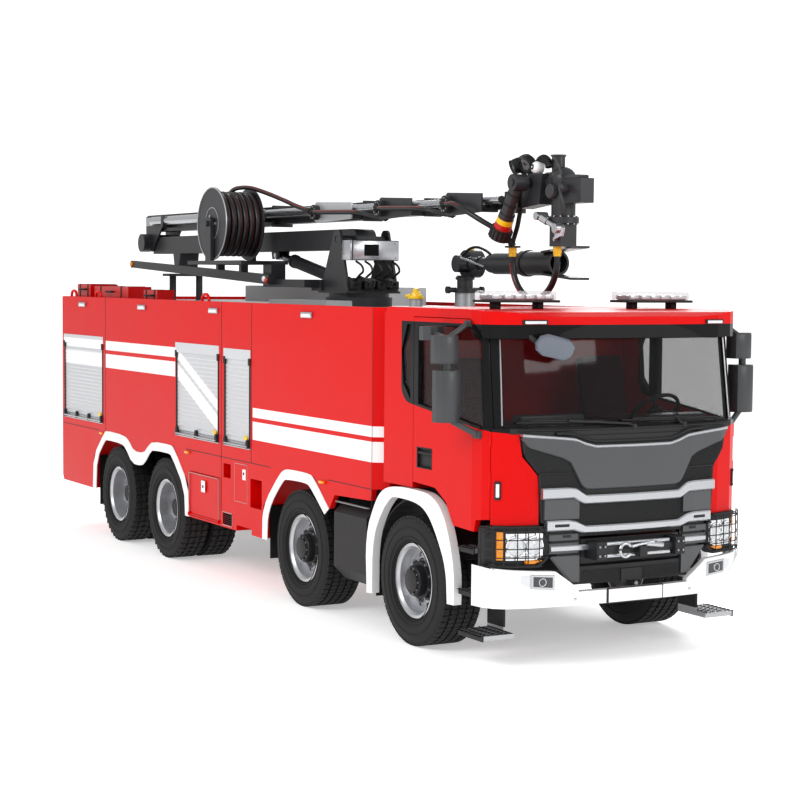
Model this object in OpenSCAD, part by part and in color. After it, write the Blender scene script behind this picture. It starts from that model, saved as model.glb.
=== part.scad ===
// Four-axle fire truck with a folding roof boom, in millimetres.
// X points forward, Y to the left and Z up. The origin lies on the ground under the middle.

/* [Wheels] */
// Places of the four axles along the truck
axle_x = [3580, 1574, -1665, -3079];
// Outer radius of every tyre
tyre_r = 530; // [480:1:545]
// Width of a steered tyre
steer_tyre_w = 385; // [300:1:395]
// Width of one tyre of a twin
twin_tyre_w = 300; // [250:1:315]
// Gap between the tyres of a twin
twin_gap = 30; // [15:1:60]
// Radius of the rim's bead seat
rim_r = 290; // [270:1:300]
// Outer face of the tyres from the middle of the truck
wheel_out = 1240; // [1200:1:1245]
// Place of the kingpins from the middle of the truck
kingpin_y = 950; // [930:1:965]
// Radius of the kingpins
kingpin_r = 22; // [18:1:26]
// Radius of the stub that carries a steered wheel
spindle_r = 45; // [35:1:50]
// Radius of the tube that carries a twin wheel
hub_tube_r = 75; // [60:1:85]
// Clearance in turning fits
fit = 0.3; // [0.1:0.05:0.5]

/* [Chassis] */
// Rear end of the frame rails
rail_rear = -4700; // [-4800:10:-4500]
// Front end of the frame rails
rail_front = 4480; // [4300:10:4550]
// Inner face of a rail from the middle
rail_in = 380; // [350:1:400]
// Width of a rail
rail_w = 80; // [60:1:90]
// Underside of the rails
rail_z = 690; // [680:1:720]
// Height of the rails
rail_h = 270; // [240:1:290]
// Wall of the rails
rail_t = 12; // [8:1:20]

/* [Body] */
// Half width of the body
body_half = 1250; // [1220:1:1270]
// Thickness of the body walls
wall = 50; // [30:1:60]
// Rear face of the body
body_rear = -4900; // [-4950:5:-4850]
// Front corner of the body's side walls
body_front = 2945; // [2900:5:2960]
// Length of the slanted front corners
corner_run = 95; // [60:1:110]
// Top edge of the walls
body_top = 2735; // [2650:1:2760]
// Seam between walls and skirts
seam_z = 1210; // [1200:1:1225]
// Lower edge of the skirts
skirt_z = 520; // [480:1:560]
// Depth of the lower lockers
locker_depth = 400; // [250:1:420]
// Top face of the roof deck
deck_z = 2700; // [2600:1:2705]
// Pitch of the shutter slats
slat = 42; // [30:1:60]
// Width of the gap round flaps and doors
seam_gap = 6; // [5:0.5:10]

/* [Cab] */
// Rear wall of the cab
cab_rear = 3090; // [3080:1:3110]
// Half width of the cab
cab_half = 1220; // [1180:1:1235]
// Thickness of the cab walls
cab_t = 45; // [30:1:60]
// Underside of the cab floor
cab_floor = 1290; // [1270:1:1310]
// Thickness of the panes
glass_t = 8; // [5:1:12]
// Rear edge of the doors
door_rear = 3580; // [3560:1:3600]
// Front edge of the doors
door_front = 4665; // [4655:1:4675]
// Upper edge of the doors
door_top = 2668; // [2660:1:2675]

/* [Boom] */
// Slewing axis of the turret along the truck
slew_x = 350; // [300:5:400]
// Height of the turret's base plate
turret_z = 2850; // [2840:1:2870]
// Pivot of the lower boom, along the truck
lift_x = 400; // [380:1:420]
// Pivot of the lower boom, height
lift_z = 3358; // [3350:1:3365]
// Height of the lower boom's box
lower_h = 205; // [180:1:210]
// Width of the lower boom's box
lower_w = 220; // [180:1:240]
// Elbow pivot, along the truck
elbow_x = -4880; // [-4900:1:-4800]
// Elbow pivot, height
elbow_z = 3390; // [3380:1:3400]
// Middle height of the upper boom
upper_z = 3630; // [3620:1:3650]
// Outer size of the upper boom's first box
upper_s = 200; // [190:1:210]
// Wall of the boom boxes
boom_t = 10; // [6:1:12]
// Running gap between the boom boxes
boom_gap = 5; // [4:0.5:7]
// Radius of the boom's pins
pin_r = 35; // [25:1:45]

/* [Hidden] */
steer_y = wheel_out - steer_tyre_w / 2;
twin_y = wheel_out - twin_tyre_w - twin_gap / 2;
rail_top = rail_z + rail_h;
wheel_z = tyre_r;

// Basic forms
module box(a, b) {
    translate(a)
        cube(b - a);
}
// A closed outline of X and Z points, made solid from y0 to y1
module side_plate(pts, y0, y1) {
    translate([0, y1, 0])
        rotate([90, 0, 0])
            linear_extrude(y1 - y0)
                polygon(pts);
}
// A closed outline of Y and Z points, made solid from x0 to x1
module front_plate(pts, x0, x1) {
    translate([x0, 0, 0])
        rotate([90, 0, 90])
            linear_extrude(x1 - x0)
                polygon(pts);
}
module bar_x(x0, x1, y, z, r, fn = 48) {
    translate([x0, y, z])
        rotate([0, 90, 0])
            cylinder(h = x1 - x0, r = r, $fn = fn);
}
module bar_y(x, y0, y1, z, r, fn = 48) {
    translate([x, y1, z])
        rotate([90, 0, 0])
            cylinder(h = y1 - y0, r = r, $fn = fn);
}
module bar_z(x, y, z0, z1, r, fn = 48) {
    translate([x, y, z0])
        cylinder(h = z1 - z0, r = r, $fn = fn);
}
// A round rod between two points
module rod(p, q, r, fn = 32) {
    d = q - p;
    translate(p)
        rotate([0, atan2(sqrt(d[0] * d[0] + d[1] * d[1]), d[2]), atan2(d[1], d[0])])
            cylinder(h = norm(d), r = r, $fn = fn);
}
module pair() {
    children();
    mirror([0, 1, 0])
        children();
}
// The same piece on the right side, or on the left side
module on_side(left) {
    if (left)
        mirror([0, 1, 0])
            children();
    else
        children();
}

// Chassis
module rail() {
    front_plate([[-rail_in - rail_w, rail_z], [-rail_in, rail_z], [-rail_in, rail_z + rail_t],
        [-rail_in - rail_w + rail_t, rail_z + rail_t], [-rail_in - rail_w + rail_t, rail_top - rail_t],
        [-rail_in, rail_top - rail_t], [-rail_in, rail_top], [-rail_in - rail_w, rail_top]],
        rail_rear, rail_front);
}
module chassis_frame() color([0.08, 0.08, 0.09]) {
    pair()
        rail();
    // Cross members between the webs
    for (x = [-4500, -2372, -700, 700, 2500, 4350])
        box([x - 60, -rail_in - rail_w + rail_t, rail_z + rail_t],
            [x + 60, rail_in + rail_w - rail_t, rail_top - rail_t]);
    // Subframe under the body
    pair()
        box([body_rear + 60, -rail_in - rail_w, rail_top], [2900, -rail_in, seam_z]);
    // Front cross beam behind the front panel
    box([rail_front, -930, rail_z + 20], [rail_front + 90, 930, rail_top - 20]);
    // Rear underrun bar and its brackets
    box([-4880, -body_half + locker_depth + 20, 480], [-4780, body_half - locker_depth - 20, 600]);
    pair()
        box([-4860, -rail_in - rail_w, 600], [rail_rear, -rail_in, rail_top]);
    // Rear coupling jaw with an upright hole
    difference() {
        box([-4990, -70, 790], [rail_rear + 10, 70, 870]);
        bar_z(-4930, 0, 780, 880, 26);
    }
    box([rail_rear, -rail_in, 740], [rail_rear + 60, rail_in, 920]);
    // Winch on the front beam, with its two mounting blocks, and the tow eyes
    box([rail_front + 90, -470, 800], [4870, 470, 990]);
    bar_y(4940, -330, 330, 905, 48);
    for (y = [-420, 330])
        box([4870, y, 840], [5020, y + 90, 975]);
    difference() {
        box([4870, -35, 850], [5050, 35, 930]);
        bar_z(5014, 0, 840, 940, 24);
    }
}
module engine_block() color([0.25, 0.26, 0.27])
    box([3050, -320, 640], [4280, 320, 1280]);
// Upper and lower edge of a leaf spring pack, offsets from its axle
spring_pts = [[-600, 160], [-600, 132], [-200, 75], [200, 75], [600, 132], [600, 160], [520, 160],
    [200, 120], [-200, 120], [-520, 160]];
module axles() color([0.12, 0.12, 0.13]) {
    for (i = [0 : 3])
        translate([axle_x[i], 0, 0]) {
            if (i < 2) {
                box([-50, -kingpin_y + 40, wheel_z - 75], [50, kingpin_y - 40, wheel_z + 45]);
                pair()
                    difference() {
                        bar_z(0, -kingpin_y, wheel_z - 75, wheel_z + 45, 46);
                        bar_z(0, -kingpin_y, wheel_z - 80, wheel_z + 50, kingpin_r + fit);
                    }
            } else {
                bar_y(0, -twin_y - 40, twin_y + 40, wheel_z, hub_tube_r);
                translate([0, 0, wheel_z])
                    sphere(r = 190, $fn = 64);
            }
            pair() {
                side_plate([for (p = spring_pts) [p[0], p[1] + rail_z - 160]],
                    -rail_in - rail_w, -rail_in);
                box([-90, -rail_in - rail_w, wheel_z], [90, -rail_in, rail_z - 80]);
            }
        }
}
// Steering knuckle of one axle, right side
module knuckle(x) {
    translate([x, 0, 0]) {
        bar_z(0, -kingpin_y, wheel_z - 110, wheel_z + 80, kingpin_r);
        for (z = [wheel_z - 110, wheel_z + 46])
            translate([0, 0, z]) {
                bar_z(0, -kingpin_y, 0, 34, 46);
                box([-40, -kingpin_y - 80, 0], [40, -kingpin_y, 34]);
            }
        box([-55, -kingpin_y - 80, wheel_z - 110], [55, -kingpin_y - 54, wheel_z + 80]);
        bar_y(0, -wheel_out + 80, -kingpin_y - 70, wheel_z, spindle_r);
    }
}
module knuckle_1r() color([0.15, 0.15, 0.16])
    knuckle(axle_x[0]);
module knuckle_1l() color([0.15, 0.15, 0.16])
    mirror([0, 1, 0])
        knuckle(axle_x[0]);
module knuckle_2r() color([0.15, 0.15, 0.16])
    knuckle(axle_x[1]);
module knuckle_2l() color([0.15, 0.15, 0.16])
    mirror([0, 1, 0])
        knuckle(axle_x[1]);
// Tyre of one width, its axle along Y
module tyre_ring(w) {
    b = w * 0.37;
    rotate([90, 0, 0])
        rotate_extrude($fn = 96)
            polygon([[rim_r + fit, -b], [rim_r + 20, -b], [rim_r + 45, -w / 2 + 14], [rim_r + 115, -w / 2], [tyre_r - 70, -w / 2 + 6],
                [tyre_r - 18, -w / 2 + 22], [tyre_r, -w / 2 + 50], [tyre_r, w / 2 - 50],
                [tyre_r - 18, w / 2 - 22], [tyre_r - 70, w / 2 - 6], [rim_r + 115, w / 2],
                [rim_r + 45, w / 2 - 14], [rim_r + 20, b], [rim_r + fit, b]]);
}
// Rim with its disc at the distance d outside the middle plane; the outside is -Y
module rim_ring(w, d, bore) {
    b = w * 0.37;
    difference() {
        rotate([90, 0, 0])
            rotate_extrude($fn = 96)
                polygon([[bore, d - 22], [rim_r - 120, d - 22], [rim_r - 60, d - 40], [rim_r - 24, d - 40],
                    [rim_r - 24, -b + 10], [rim_r - 8, -b - 12], [rim_r + 16, -b - 12], [rim_r + 16, -b - 2],
                    [rim_r, -b - 2], [rim_r, b + 2], [rim_r + 16, b + 2], [rim_r + 16, b + 12],
                    [rim_r - 8, b + 12], [rim_r - 24, b - 10], [rim_r - 24, d - 18], [rim_r - 60, d - 18],
                    [rim_r - 120, d], [bore, d]]);
        for (a = [0 : 36 : 324])
            rotate([0, a, 0])
                bar_y(rim_r - 78, -d - 10, -d + 60, 0, 22, 24);
    }
}
module steer_rim(x) {
    translate([x, -steer_y, wheel_z]) {
        rim_ring(steer_tyre_w, 70, spindle_r + fit);
        difference() {
            union() {
                bar_y(0, -165, -48, 0, 120);
                bar_y(0, -180, -165, 0, 95);
            }
            bar_y(0, -130, 60, 0, spindle_r + fit);
        }
    }
}
module twin_rim(x) {
    translate([x, 0, wheel_z]) {
        translate([0, -twin_y - twin_tyre_w / 2 - twin_gap / 2, 0])
            rim_ring(twin_tyre_w, -55, 118);
        translate([0, -twin_y + twin_tyre_w / 2 + twin_gap / 2, 0])
            mirror([0, 1, 0])
                rim_ring(twin_tyre_w, -55, 118);
        difference() {
            union() {
                bar_y(0, -twin_y - 160, -twin_y + 100, 0, 118.5);
                bar_y(0, -twin_y - 190, -twin_y - 160, 0, 90);
            }
            bar_y(0, -twin_y - 40 - fit, -twin_y + 110, 0, hub_tube_r + fit);
        }
    }
}
module twin_tyres(x) {
    for (s = [-1, 1])
        translate([x, -twin_y + s * (twin_tyre_w + twin_gap) / 2, wheel_z])
            tyre_ring(twin_tyre_w);
}
module steer_tyre(x) {
    translate([x, -steer_y, wheel_z])
        tyre_ring(steer_tyre_w);
}
module wheel_rim(i, left) color([0.72, 0.73, 0.75])
    on_side(left)
        if (i < 2)
            steer_rim(axle_x[i]);
        else
            twin_rim(axle_x[i]);
module wheel_tyre(i, left) color([0.05, 0.05, 0.05])
    on_side(left)
        if (i < 2)
            steer_tyre(axle_x[i]);
        else
            twin_tyres(axle_x[i]);

// Cab
// Side outline: x, z, and the share of an inset that moves each point in x and in z
cab_side_pts = [[cab_rear, cab_floor, 1, 1], [cab_rear, 2690, 1, -0.6], [cab_rear + 60, 2745, 0.6, -1],
    [4480, 2745, 0, -1], [4740, 2728, -0.4, -1], [4810, 2695, -1, -1], [4833, 2640, -1, -0.5],
    [4800, 2500, -1, 0], [4864, 1845, -1, 0], [4862, 1790, -1, 0], [4880, 1400, -1, 0],
    [4860, cab_floor, -1, 1]];
// Plan outline of the right half: x, y, and the shares of an inset
cab_plan_pts = [[cab_rear, -cab_half, 1, 1], [4480, -cab_half, 0, 1], [4600, -cab_half + 16, -0.3, 1],
    [4690, -cab_half + 62, -0.7, 0.8], [4760, -cab_half + 150, -0.9, 0.5], [4815, -cab_half + 320, -1, 0.2],
    [4850, -cab_half + 620, -1, 0], [4870, -cab_half + 950, -1, 0]];
// Plan outline of the whole cab, with an inset
function cab_plan(d) = let (half = [for (p = cab_plan_pts) [p[0] + p[2] * d, p[1] + p[3] * d]])
    concat(half, [for (i = [len(half) - 1 : -1 : 0]) [half[i][0], -half[i][1]]]);
// Ledge under the windscreen, underside of the brow, and the lean of the pillars between them
cowl_z = 1850;
brow_z = 2530;
lean = 8;
cab_out = -cab_half - 80;
cab_in = -cab_half + 180;
module cab_form(d) {
    low = cowl_z - 0.7 * d;
    high = brow_z + 0.7 * d;
    intersection() {
        side_plate([for (p = cab_side_pts) [p[0] + p[2] * d, p[1] + p[3] * d]], cab_out, -cab_out);
        union() {
            translate([0, 0, 1000])
                linear_extrude(low - 1000)
                    polygon(cab_plan(d));
            intersection() {
                translate([4700, 0, cowl_z])
                    rotate([0, -lean, 0])
                        translate([-4732, 0, -300])
                            linear_extrude(1400)
                                polygon(cab_plan(d));
                box([cab_rear - 10, cab_out, low], [5000, -cab_out, high]);
            }
            translate([-30, 0, high])
                linear_extrude(500)
                    polygon(cab_plan(d));
        }
    }
}
module cab_skin(d0, d1) {
    difference() {
        cab_form(d0);
        cab_form(d1);
    }
}
// Outline of a door in side view, and of its window
door_pts = [[door_rear, 1340], [3930, 1325], [4100, 1230], [4215, 1060], [4515, 1048], [4535, 1140],
    [door_front, 1155], [door_front, cowl_z], [door_front - 90, brow_z + 5], [door_front - 225, door_top],
    [door_rear, door_top]];
door_hole_pts = [for (p = door_pts) [p[0] + (p[0] < 3900 ? -seam_gap : p[0] > 4400 ? seam_gap : 0),
    p[1] + (p[1] > 2000 ? seam_gap : p[1] < 1400 ? -80 : 0)]];
door_window_pts = [[door_rear + 70, 1975], [door_front - 75, cowl_z + 5], [door_front - 135, brow_z - 40],
    [door_front - 230, door_top - 65], [door_rear + 70, door_top - 62]];
quarter_pts = [[3375, 2400], [3405, 2130], [3500, 2030], [door_rear - 55, 2000], [door_rear - 55, 2610], [3470, 2610]];
screen_pts = [[-cab_half + 130, cowl_z + 15], [cab_half - 130, cowl_z + 15], [cab_half - 150, brow_z - 8],
    [-cab_half + 150, brow_z - 8]];
// Hinge axis of the right door
hinge_x = door_front + seam_gap / 2;
hinge_y = -cab_half + 49;
module cab_shell() color([0.8, 0.05, 0.04]) {
    // All faces of the shell are flat, so it is made as one mesh, with no change of size
    resize([0, 0, 0])
    difference() {
        cab_skin(0, cab_t);
        front_plate(screen_pts, 4500, 5000);
        // Door openings, both sides
        side_plate(door_hole_pts, cab_out, cab_in);
        side_plate(door_hole_pts, -cab_in, -cab_out);
        side_plate(quarter_pts, cab_out, -cab_out);
        // Room for the doors' hinge knuckles
        pair()
            for (z = hinge_z)
                bar_z(hinge_x, hinge_y, z - fit, z + 60 + fit, 11);
        // The front of the lower cab is open behind the front panel
        front_plate([[-990, 1802], [990, 1802], [965, 1635], [830, 1475], [830, 1200], [-830, 1200], [-830, 1475],
            [-965, 1635]], 4700, 5000);
    }
    // Outer hinge knuckles of the doors
    pair()
        for (z = hinge_z, s = [-30 - fit, 60 + fit])
            bar_z(hinge_x, hinge_y, z + s, z + s + 30, 9);
    // Corner panels beside the front panel
    pair()
        intersection() {
            translate([0, 0, 1115])
                linear_extrude(cab_floor - 1115)
                    polygon([for (p = concat(cab_plan_pts, [[4780, -700], [4600, -700], [4500, -cab_half + 60],
                        [4500, -cab_half]])) if (p[0] > 4490) [p[0], p[1]]]);
            box([door_front + seam_gap, cab_out, 1000], [4900, -cab_half + 390, 1400]);
        }
    // Engine tunnel inside
    box([3400, -420, cab_floor + cab_t], [4200, 420, cab_floor + 240]);
}
module cab_glass() color([0.1, 0.12, 0.14, 0.6]) {
    intersection() {
        cab_skin(12, 12 + glass_t);
        front_plate(screen_pts, 4500, 5000);
    }
    pair()
        intersection() {
            cab_skin(12, 12 + glass_t);
            side_plate(quarter_pts, cab_out, cab_in);
        }
}
module cab_interior() color([0.1, 0.1, 0.11]) {
    // Dash
    side_plate([[4380, cab_floor + cab_t], [4400, 1750], [4480, 1850], [4640, 1830], [4650, cab_floor + cab_t]],
        -1080, 1080);
    // Seats: cushion and back
    for (y = [-700, 700])
        side_plate([[3560, cab_floor + cab_t], [3500, 1700], [3380, 2330], [3480, 2350], [3620, 1830], [4050, 1850],
            [4060, 1720], [4000, cab_floor + cab_t]], y - 240, y + 240);
    // Rear bulkhead bench
    box([cab_rear + cab_t, -950, cab_floor + cab_t], [3330, 950, 1760]);
    // Steering column and wheel, left-hand drive
    rod([4420, 700, 1700], [4240, 700, 1880], 30);
    translate([4230, 700, 1890])
        rotate([0, -45, 0]) {
            rotate_extrude($fn = 64)
                translate([215, 0])
                    circle(r = 16, $fn = 24);
            cylinder(h = 30, r = 60, center = true, $fn = 32);
            for (a = [90, 210, 330])
                rotate([0, 0, a])
                    translate([30, -20, -8])
                        cube([180, 40, 16]);
        }
}
// Front panel: slab that follows the cab's plan, with mesh fields and two bars
panel_pts = [[-980, 1790], [980, 1790], [955, 1640], [820, 1480], [820, 1130], [740, 1110], [740, 990], [560, 640],
    [-560, 640], [-740, 990], [-740, 1110], [-820, 1130], [-820, 1480], [-955, 1640]];
module plan_slab(grow, depth, z0, z1) {
    half = [for (p = cab_plan_pts) if (p[0] > 4400) [p[0] + grow, p[1]]];
    back = [for (i = [len(half) - 1 : -1 : 0]) half[i]];
    translate([0, 0, z0])
        linear_extrude(z1 - z0)
            polygon(concat(half, [for (p = back) [p[0], -p[1]]],
                [for (p = half) [p[0] - depth, -p[1]]], [for (p = back) [p[0] - depth, p[1]]]));
}
module front_panel() color([0.22, 0.23, 0.24]) {
    difference() {
        intersection() {
            plan_slab(18, 60, 600, 1800);
            front_plate(panel_pts, 4400, 5000);
        }
        // Recessed mesh fields
        for (f = [[560, 1145, 1290], [760, 1410, 1500], [470, 640, 745]])
            box([4840, -f[0], f[1]], [5000, f[0], f[2]]);
        // Opening of the winch
        box([4700, -480, 780], [5000, 480, 1010]);
    }
    // Two bright bars that stand proud
    for (f = [[825, 1300, 1395], [755, 1065, 1140]])
        intersection() {
            plan_slab(45, 27, f[1], f[2]);
            box([4400, -f[0], f[1]], [5000, f[0], f[2]]);
        }
    // Brow under the windscreen
    intersection() {
        plan_slab(30, 60, 1745, 1800);
        box([4400, -960, 1745], [5000, 960, 1800]);
    }
}
module bumper() color([0.9, 0.9, 0.9])
    difference() {
        intersection() {
            translate([0, 0, 480])
                linear_extrude(350)
                    polygon(concat([for (p = cab_plan_pts) if (p[0] > 4400) [p[0] + 70, p[1] - 35 + 35 * (p[0] > 4800 ? 1 : 0)]],
                        [for (i = [len(cab_plan_pts) - 1 : -1 : 0]) if (cab_plan_pts[i][0] > 4400)
                            [cab_plan_pts[i][0] + 70, -cab_plan_pts[i][1] + 35 - 35 * (cab_plan_pts[i][0] > 4800 ? 1 : 0)]]));
            front_plate([[-1300, 490], [1300, 490], [1300, 820], [1130, 770], [1010, 640], [600, 595], [-600, 595],
                [-1010, 640], [-1130, 770], [-1300, 820]], 4300, 5000);
        }
        translate([0, 0, 470])
            linear_extrude(400)
                polygon(concat([for (p = cab_plan_pts) if (p[0] > 4400) [p[0] + 5, p[1] + 25]],
                    [for (i = [len(cab_plan_pts) - 1 : -1 : 0]) if (cab_plan_pts[i][0] > 4400)
                        [cab_plan_pts[i][0] + 5, -cab_plan_pts[i][1] - 25]], [[4300, 1195], [4300, -1195]]));
    }
module lamps() color([0.9, 0.9, 0.92]) {
    // Headlamps, then fog lamps, both in the front corners
    pair()
        intersection() {
            plan_slab(26, 120, 770, 1112);
            front_plate([[-1190, 790], [-1190, 1080], [-1150, 1112], [-830, 1112], [-760, 1060], [-760, 860], [-840, 790]],
                4300, 5000);
        }
    pair()
        intersection() {
            plan_slab(30, 90, 600, 755);
            front_plate([[-960, 635], [-960, 750], [-800, 755], [-720, 700], [-740, 611]], 4300, 5000);
        }
    // Light bars on the cab roof
    for (y = [-660, 660]) {
        box([4080, y - 330, 2800], [4360, y + 330, 2885]);
        for (s = [-200, 200])
            box([4180, y + s - 30, 2745], [4260, y + s + 30, 2800]);
    }
    // Scene lamps high on the side walls, then side markers: x, z, half length, half height
    pair()
        for (f = [[-4170, 2645, 100, 22], [-2280, 2645, 100, 22], [-350, 2645, 100, 22], [1720, 2645, 100, 22],
            [-3532, 1180, 45, 14], [-1010, 1180, 45, 14], [2040, 1180, 45, 14]])
            box([f[0] - f[2], -body_half - 26, f[1] - f[3]], [f[0] + f[2], -body_half, f[1] + f[3]]);
    // Tail lamps on the rear wall
    pair()
        box([body_rear - 45, -1190, 880], [body_rear, -1010, 1140]);
}
module cab_steps() color([0.3, 0.31, 0.32])
    pair() {
        // Treads: height and front edge
        for (f = [[225, 4660], [545, 4530], [880, 4520]])
            box([4300, -1215, f[0]], [f[1], -930, f[0] + 35]);
        box([4300, -950, 225], [4530, -930, 915]);
    }
// Heights of the door hinges
hinge_z = [1420, 1740];
// Door of the right side, without its pane
module door_form() {
    for (z = hinge_z)
        bar_z(hinge_x, hinge_y, z, z + 60, 9);
    resize([0, 0, 0])
    difference() {
        intersection() {
            union() {
                cab_skin(0, cab_t);
                translate([0, 0, 1000])
                    linear_extrude(cab_floor + 100 - 1000)
                        difference() {
                            polygon(cab_plan(0));
                            polygon(cab_plan(cab_t));
                        }
            }
            side_plate(door_pts, cab_out, cab_in);
        }
        side_plate(door_window_pts, cab_out, cab_in);
        for (z = hinge_z, s = [-31, 60])
            bar_z(hinge_x, hinge_y, z + s, z + s + 31, 11);
        // Handle recess
        box([3640, cab_out, 1460], [3880, -cab_half + 22, 1630]);
    }
}
module door_r() color([0.8, 0.05, 0.04])
    door_form();
module door_l() color([0.8, 0.05, 0.04])
    mirror([0, 1, 0])
        door_form();
module door_pane()
    side_plate(door_window_pts, -cab_half + 28, -cab_half + 28 + glass_t);
module door_glass_r() color([0.1, 0.12, 0.14, 0.6])
    door_pane();
module door_glass_l() color([0.1, 0.12, 0.14, 0.6])
    mirror([0, 1, 0])
        door_pane();
// Mirror heads on two arms, carried by the door's frame
// Plan of a mirror head: flat glass side at the rear, rounded front
head_pts = [[0, -100], [60, -100], [105, -80], [126, -40], [130, 0], [126, 40], [105, 80], [60, 100], [0, 100]];
module mirror_head(x, z0, z1) {
    difference() {
        translate([x, -1430, z0])
            linear_extrude(z1 - z0)
                polygon(head_pts);
        box([x - 10, -1512, z0 + 18], [x + 14, -1348, z1 - 18]);
    }
}
module mirror_set() {
    mirror_head(4370, 2335, 2550);
    mirror_head(4400, 1890, 2285);
    bar_z(4460, -1430, 2280, 2340, 30);
    // Kerb mirror behind the upper head
    translate([4030, -1345, 2500])
        linear_extrude(110)
            polygon([[0, -90], [70, -95], [125, -60], [135, 0], [125, 60], [70, 95], [0, 90]]);
    rod([4130, -1360, 2560], [4420, -1420, 2530], 16);
    // Arm from the top of the door's frame, then the foot at the belt
    rod([4430, -1420, 2520], [4420, -cab_half - 13, 2636], 22);
    box([4375, -cab_half - 20, 2612], [4465, -cab_half, 2660]);
    rod([4470, -1400, 1900], [4560, -cab_half - 8, 1800], 24);
    translate([0, 0, 1770])
        linear_extrude(56)
            polygon([[4520, -cab_half - 24], [4600, -cab_half - 14], [4600, -cab_half + 16], [4520, -cab_half + 16 / 3]]);
}
module mirror_r() color([0.06, 0.06, 0.07])
    mirror_set();
module mirror_l() color([0.06, 0.06, 0.07])
    mirror([0, 1, 0])
        mirror_set();

// Body
// Shutters of one side: rear edge, front edge, lower edge, upper edge
shutter_rows = [[-4840, -3500, 1285, 2285], [-1340, -225, 1330, 2300], [-110, 515, 1330, 2285]];
// Rear shutter: half width, lower edge, upper edge
rear_shutter = [700, 1285, 2300];
module body_walls() color([0.8, 0.05, 0.04]) {
    pair()
        difference() {
            side_plate([[body_rear, seam_z], [body_front, seam_z], [body_front, body_top - 15],
                [body_front - 15, body_top], [body_rear + 15, body_top], [body_rear, body_top - 15]],
                -body_half, -body_half + wall);
            for (f = shutter_rows)
                box([f[0], -body_half - 1, f[2]], [f[1], -body_half + wall + 1, f[3]]);
        }
    // Slanted corners and front wall, between the side walls
    translate([0, 0, seam_z])
        linear_extrude(body_top - seam_z)
            polygon([[body_front, -body_half], [body_front + corner_run, -body_half + 120],
                [body_front + corner_run, body_half - 120], [body_front, body_half], [body_front, body_half - wall],
                [body_front + corner_run - wall, body_half - 150], [body_front + corner_run - wall, -body_half + 150],
                [body_front, -body_half + wall]]);
    // Rear wall
    difference() {
        box([body_rear, -body_half + wall, seam_z], [body_rear + wall, body_half - wall, body_top]);
        box([body_rear - 1, -rear_shutter[0], rear_shutter[1]],
            [body_rear + wall + 1, rear_shutter[0], rear_shutter[2]]);
    }
}
module body_deck() color([0.6, 0.61, 0.62]) {
    box([body_rear + wall, -body_half + wall, deck_z - 40], [body_front, body_half - wall, deck_z]);
    // Floor over the frame
    box([body_rear + wall, -body_half + wall, seam_z], [body_front, body_half - wall, seam_z + 40]);
}
// Skirts: outline, then depth
module skirt_rows(y_out, deep) {
    side_plate([[body_rear, skirt_z + 60], [body_rear + 40, skirt_z], [-3830, skirt_z], [-3800, 900],
        [-3450, 1190], [-3400, seam_z], [body_rear, seam_z]], y_out, y_out + deep);
    side_plate([[-2815, seam_z], [-2670, 1160], [-2534, 1064], [-2227, 1064], [-2090, 1160], [-1960, seam_z]],
        y_out, y_out + wall);
    side_plate([[-967, skirt_z], [800, skirt_z], [810, 830], [1155, 1152], [1230, seam_z], [-1400, seam_z],
        [-1383, 1196], [-997, 851]], y_out, y_out + deep);
    side_plate([[1860, seam_z], [2166, 958], [2263, 1090], [2920, 1112], [body_front, seam_z]],
        y_out, y_out + wall);
}
// Lower flap of one side: rear edge, front edge, lower edge, upper edge
flap_row = [-940, -230, 545, 990];
module body_skirts() color([0.8, 0.05, 0.04])
    pair() {
        // Lugs that carry the flap's hinge rod
        for (x = [flap_row[0] - 26, flap_row[1] + 8])
            difference() {
                box([x, -body_half - 22, flap_row[2] - 8], [x + 18, -body_half, flap_row[2] + 28]);
                bar_x(x - 1, x + 19, -body_half - 4, flap_row[2] + 10, 9 + fit, 24);
            }
        difference() {
            skirt_rows(-body_half, locker_depth);
            // Locker behind the flap
            box([flap_row[0] - seam_gap, -body_half - 1, flap_row[2] - seam_gap],
                [flap_row[1] + seam_gap, -body_half + 40, flap_row[3] + seam_gap]);
            bar_x(flap_row[0] - 30, flap_row[1] + 30, -body_half - 4, flap_row[2] + 10, 9 + fit, 24);
            box([flap_row[0] + 25, -body_half, flap_row[2] + 25],
                [flap_row[1] - 25, -body_half + locker_depth - 40, flap_row[3] - 25]);
            // Open recesses: rear edge, front edge, lower edge, upper edge
            for (f = [[518, 772, 785, 1061], [-114, 57, 1014, 1152], [-138, 96, 545, 666]])
                box([f[0], -body_half - 1, f[2]], [f[1], -body_half + 120, f[3]]);
            // Step-up notch in the lower edge
            box([200, -body_half - 1, skirt_z - 1], [550, -body_half + 150, skirt_z + 55]);
        }
    }
module flap_form() {
    box([flap_row[0], -body_half, flap_row[2]], [flap_row[1], -body_half + 24, flap_row[3]]);
    bar_x(flap_row[0] - 28, flap_row[1] + 28, -body_half - 4, flap_row[2] + 10, 9, 24);
}
module flap_r() color([0.8, 0.05, 0.04])
    flap_form();
module flap_l() color([0.8, 0.05, 0.04])
    mirror([0, 1, 0])
        flap_form();
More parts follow.
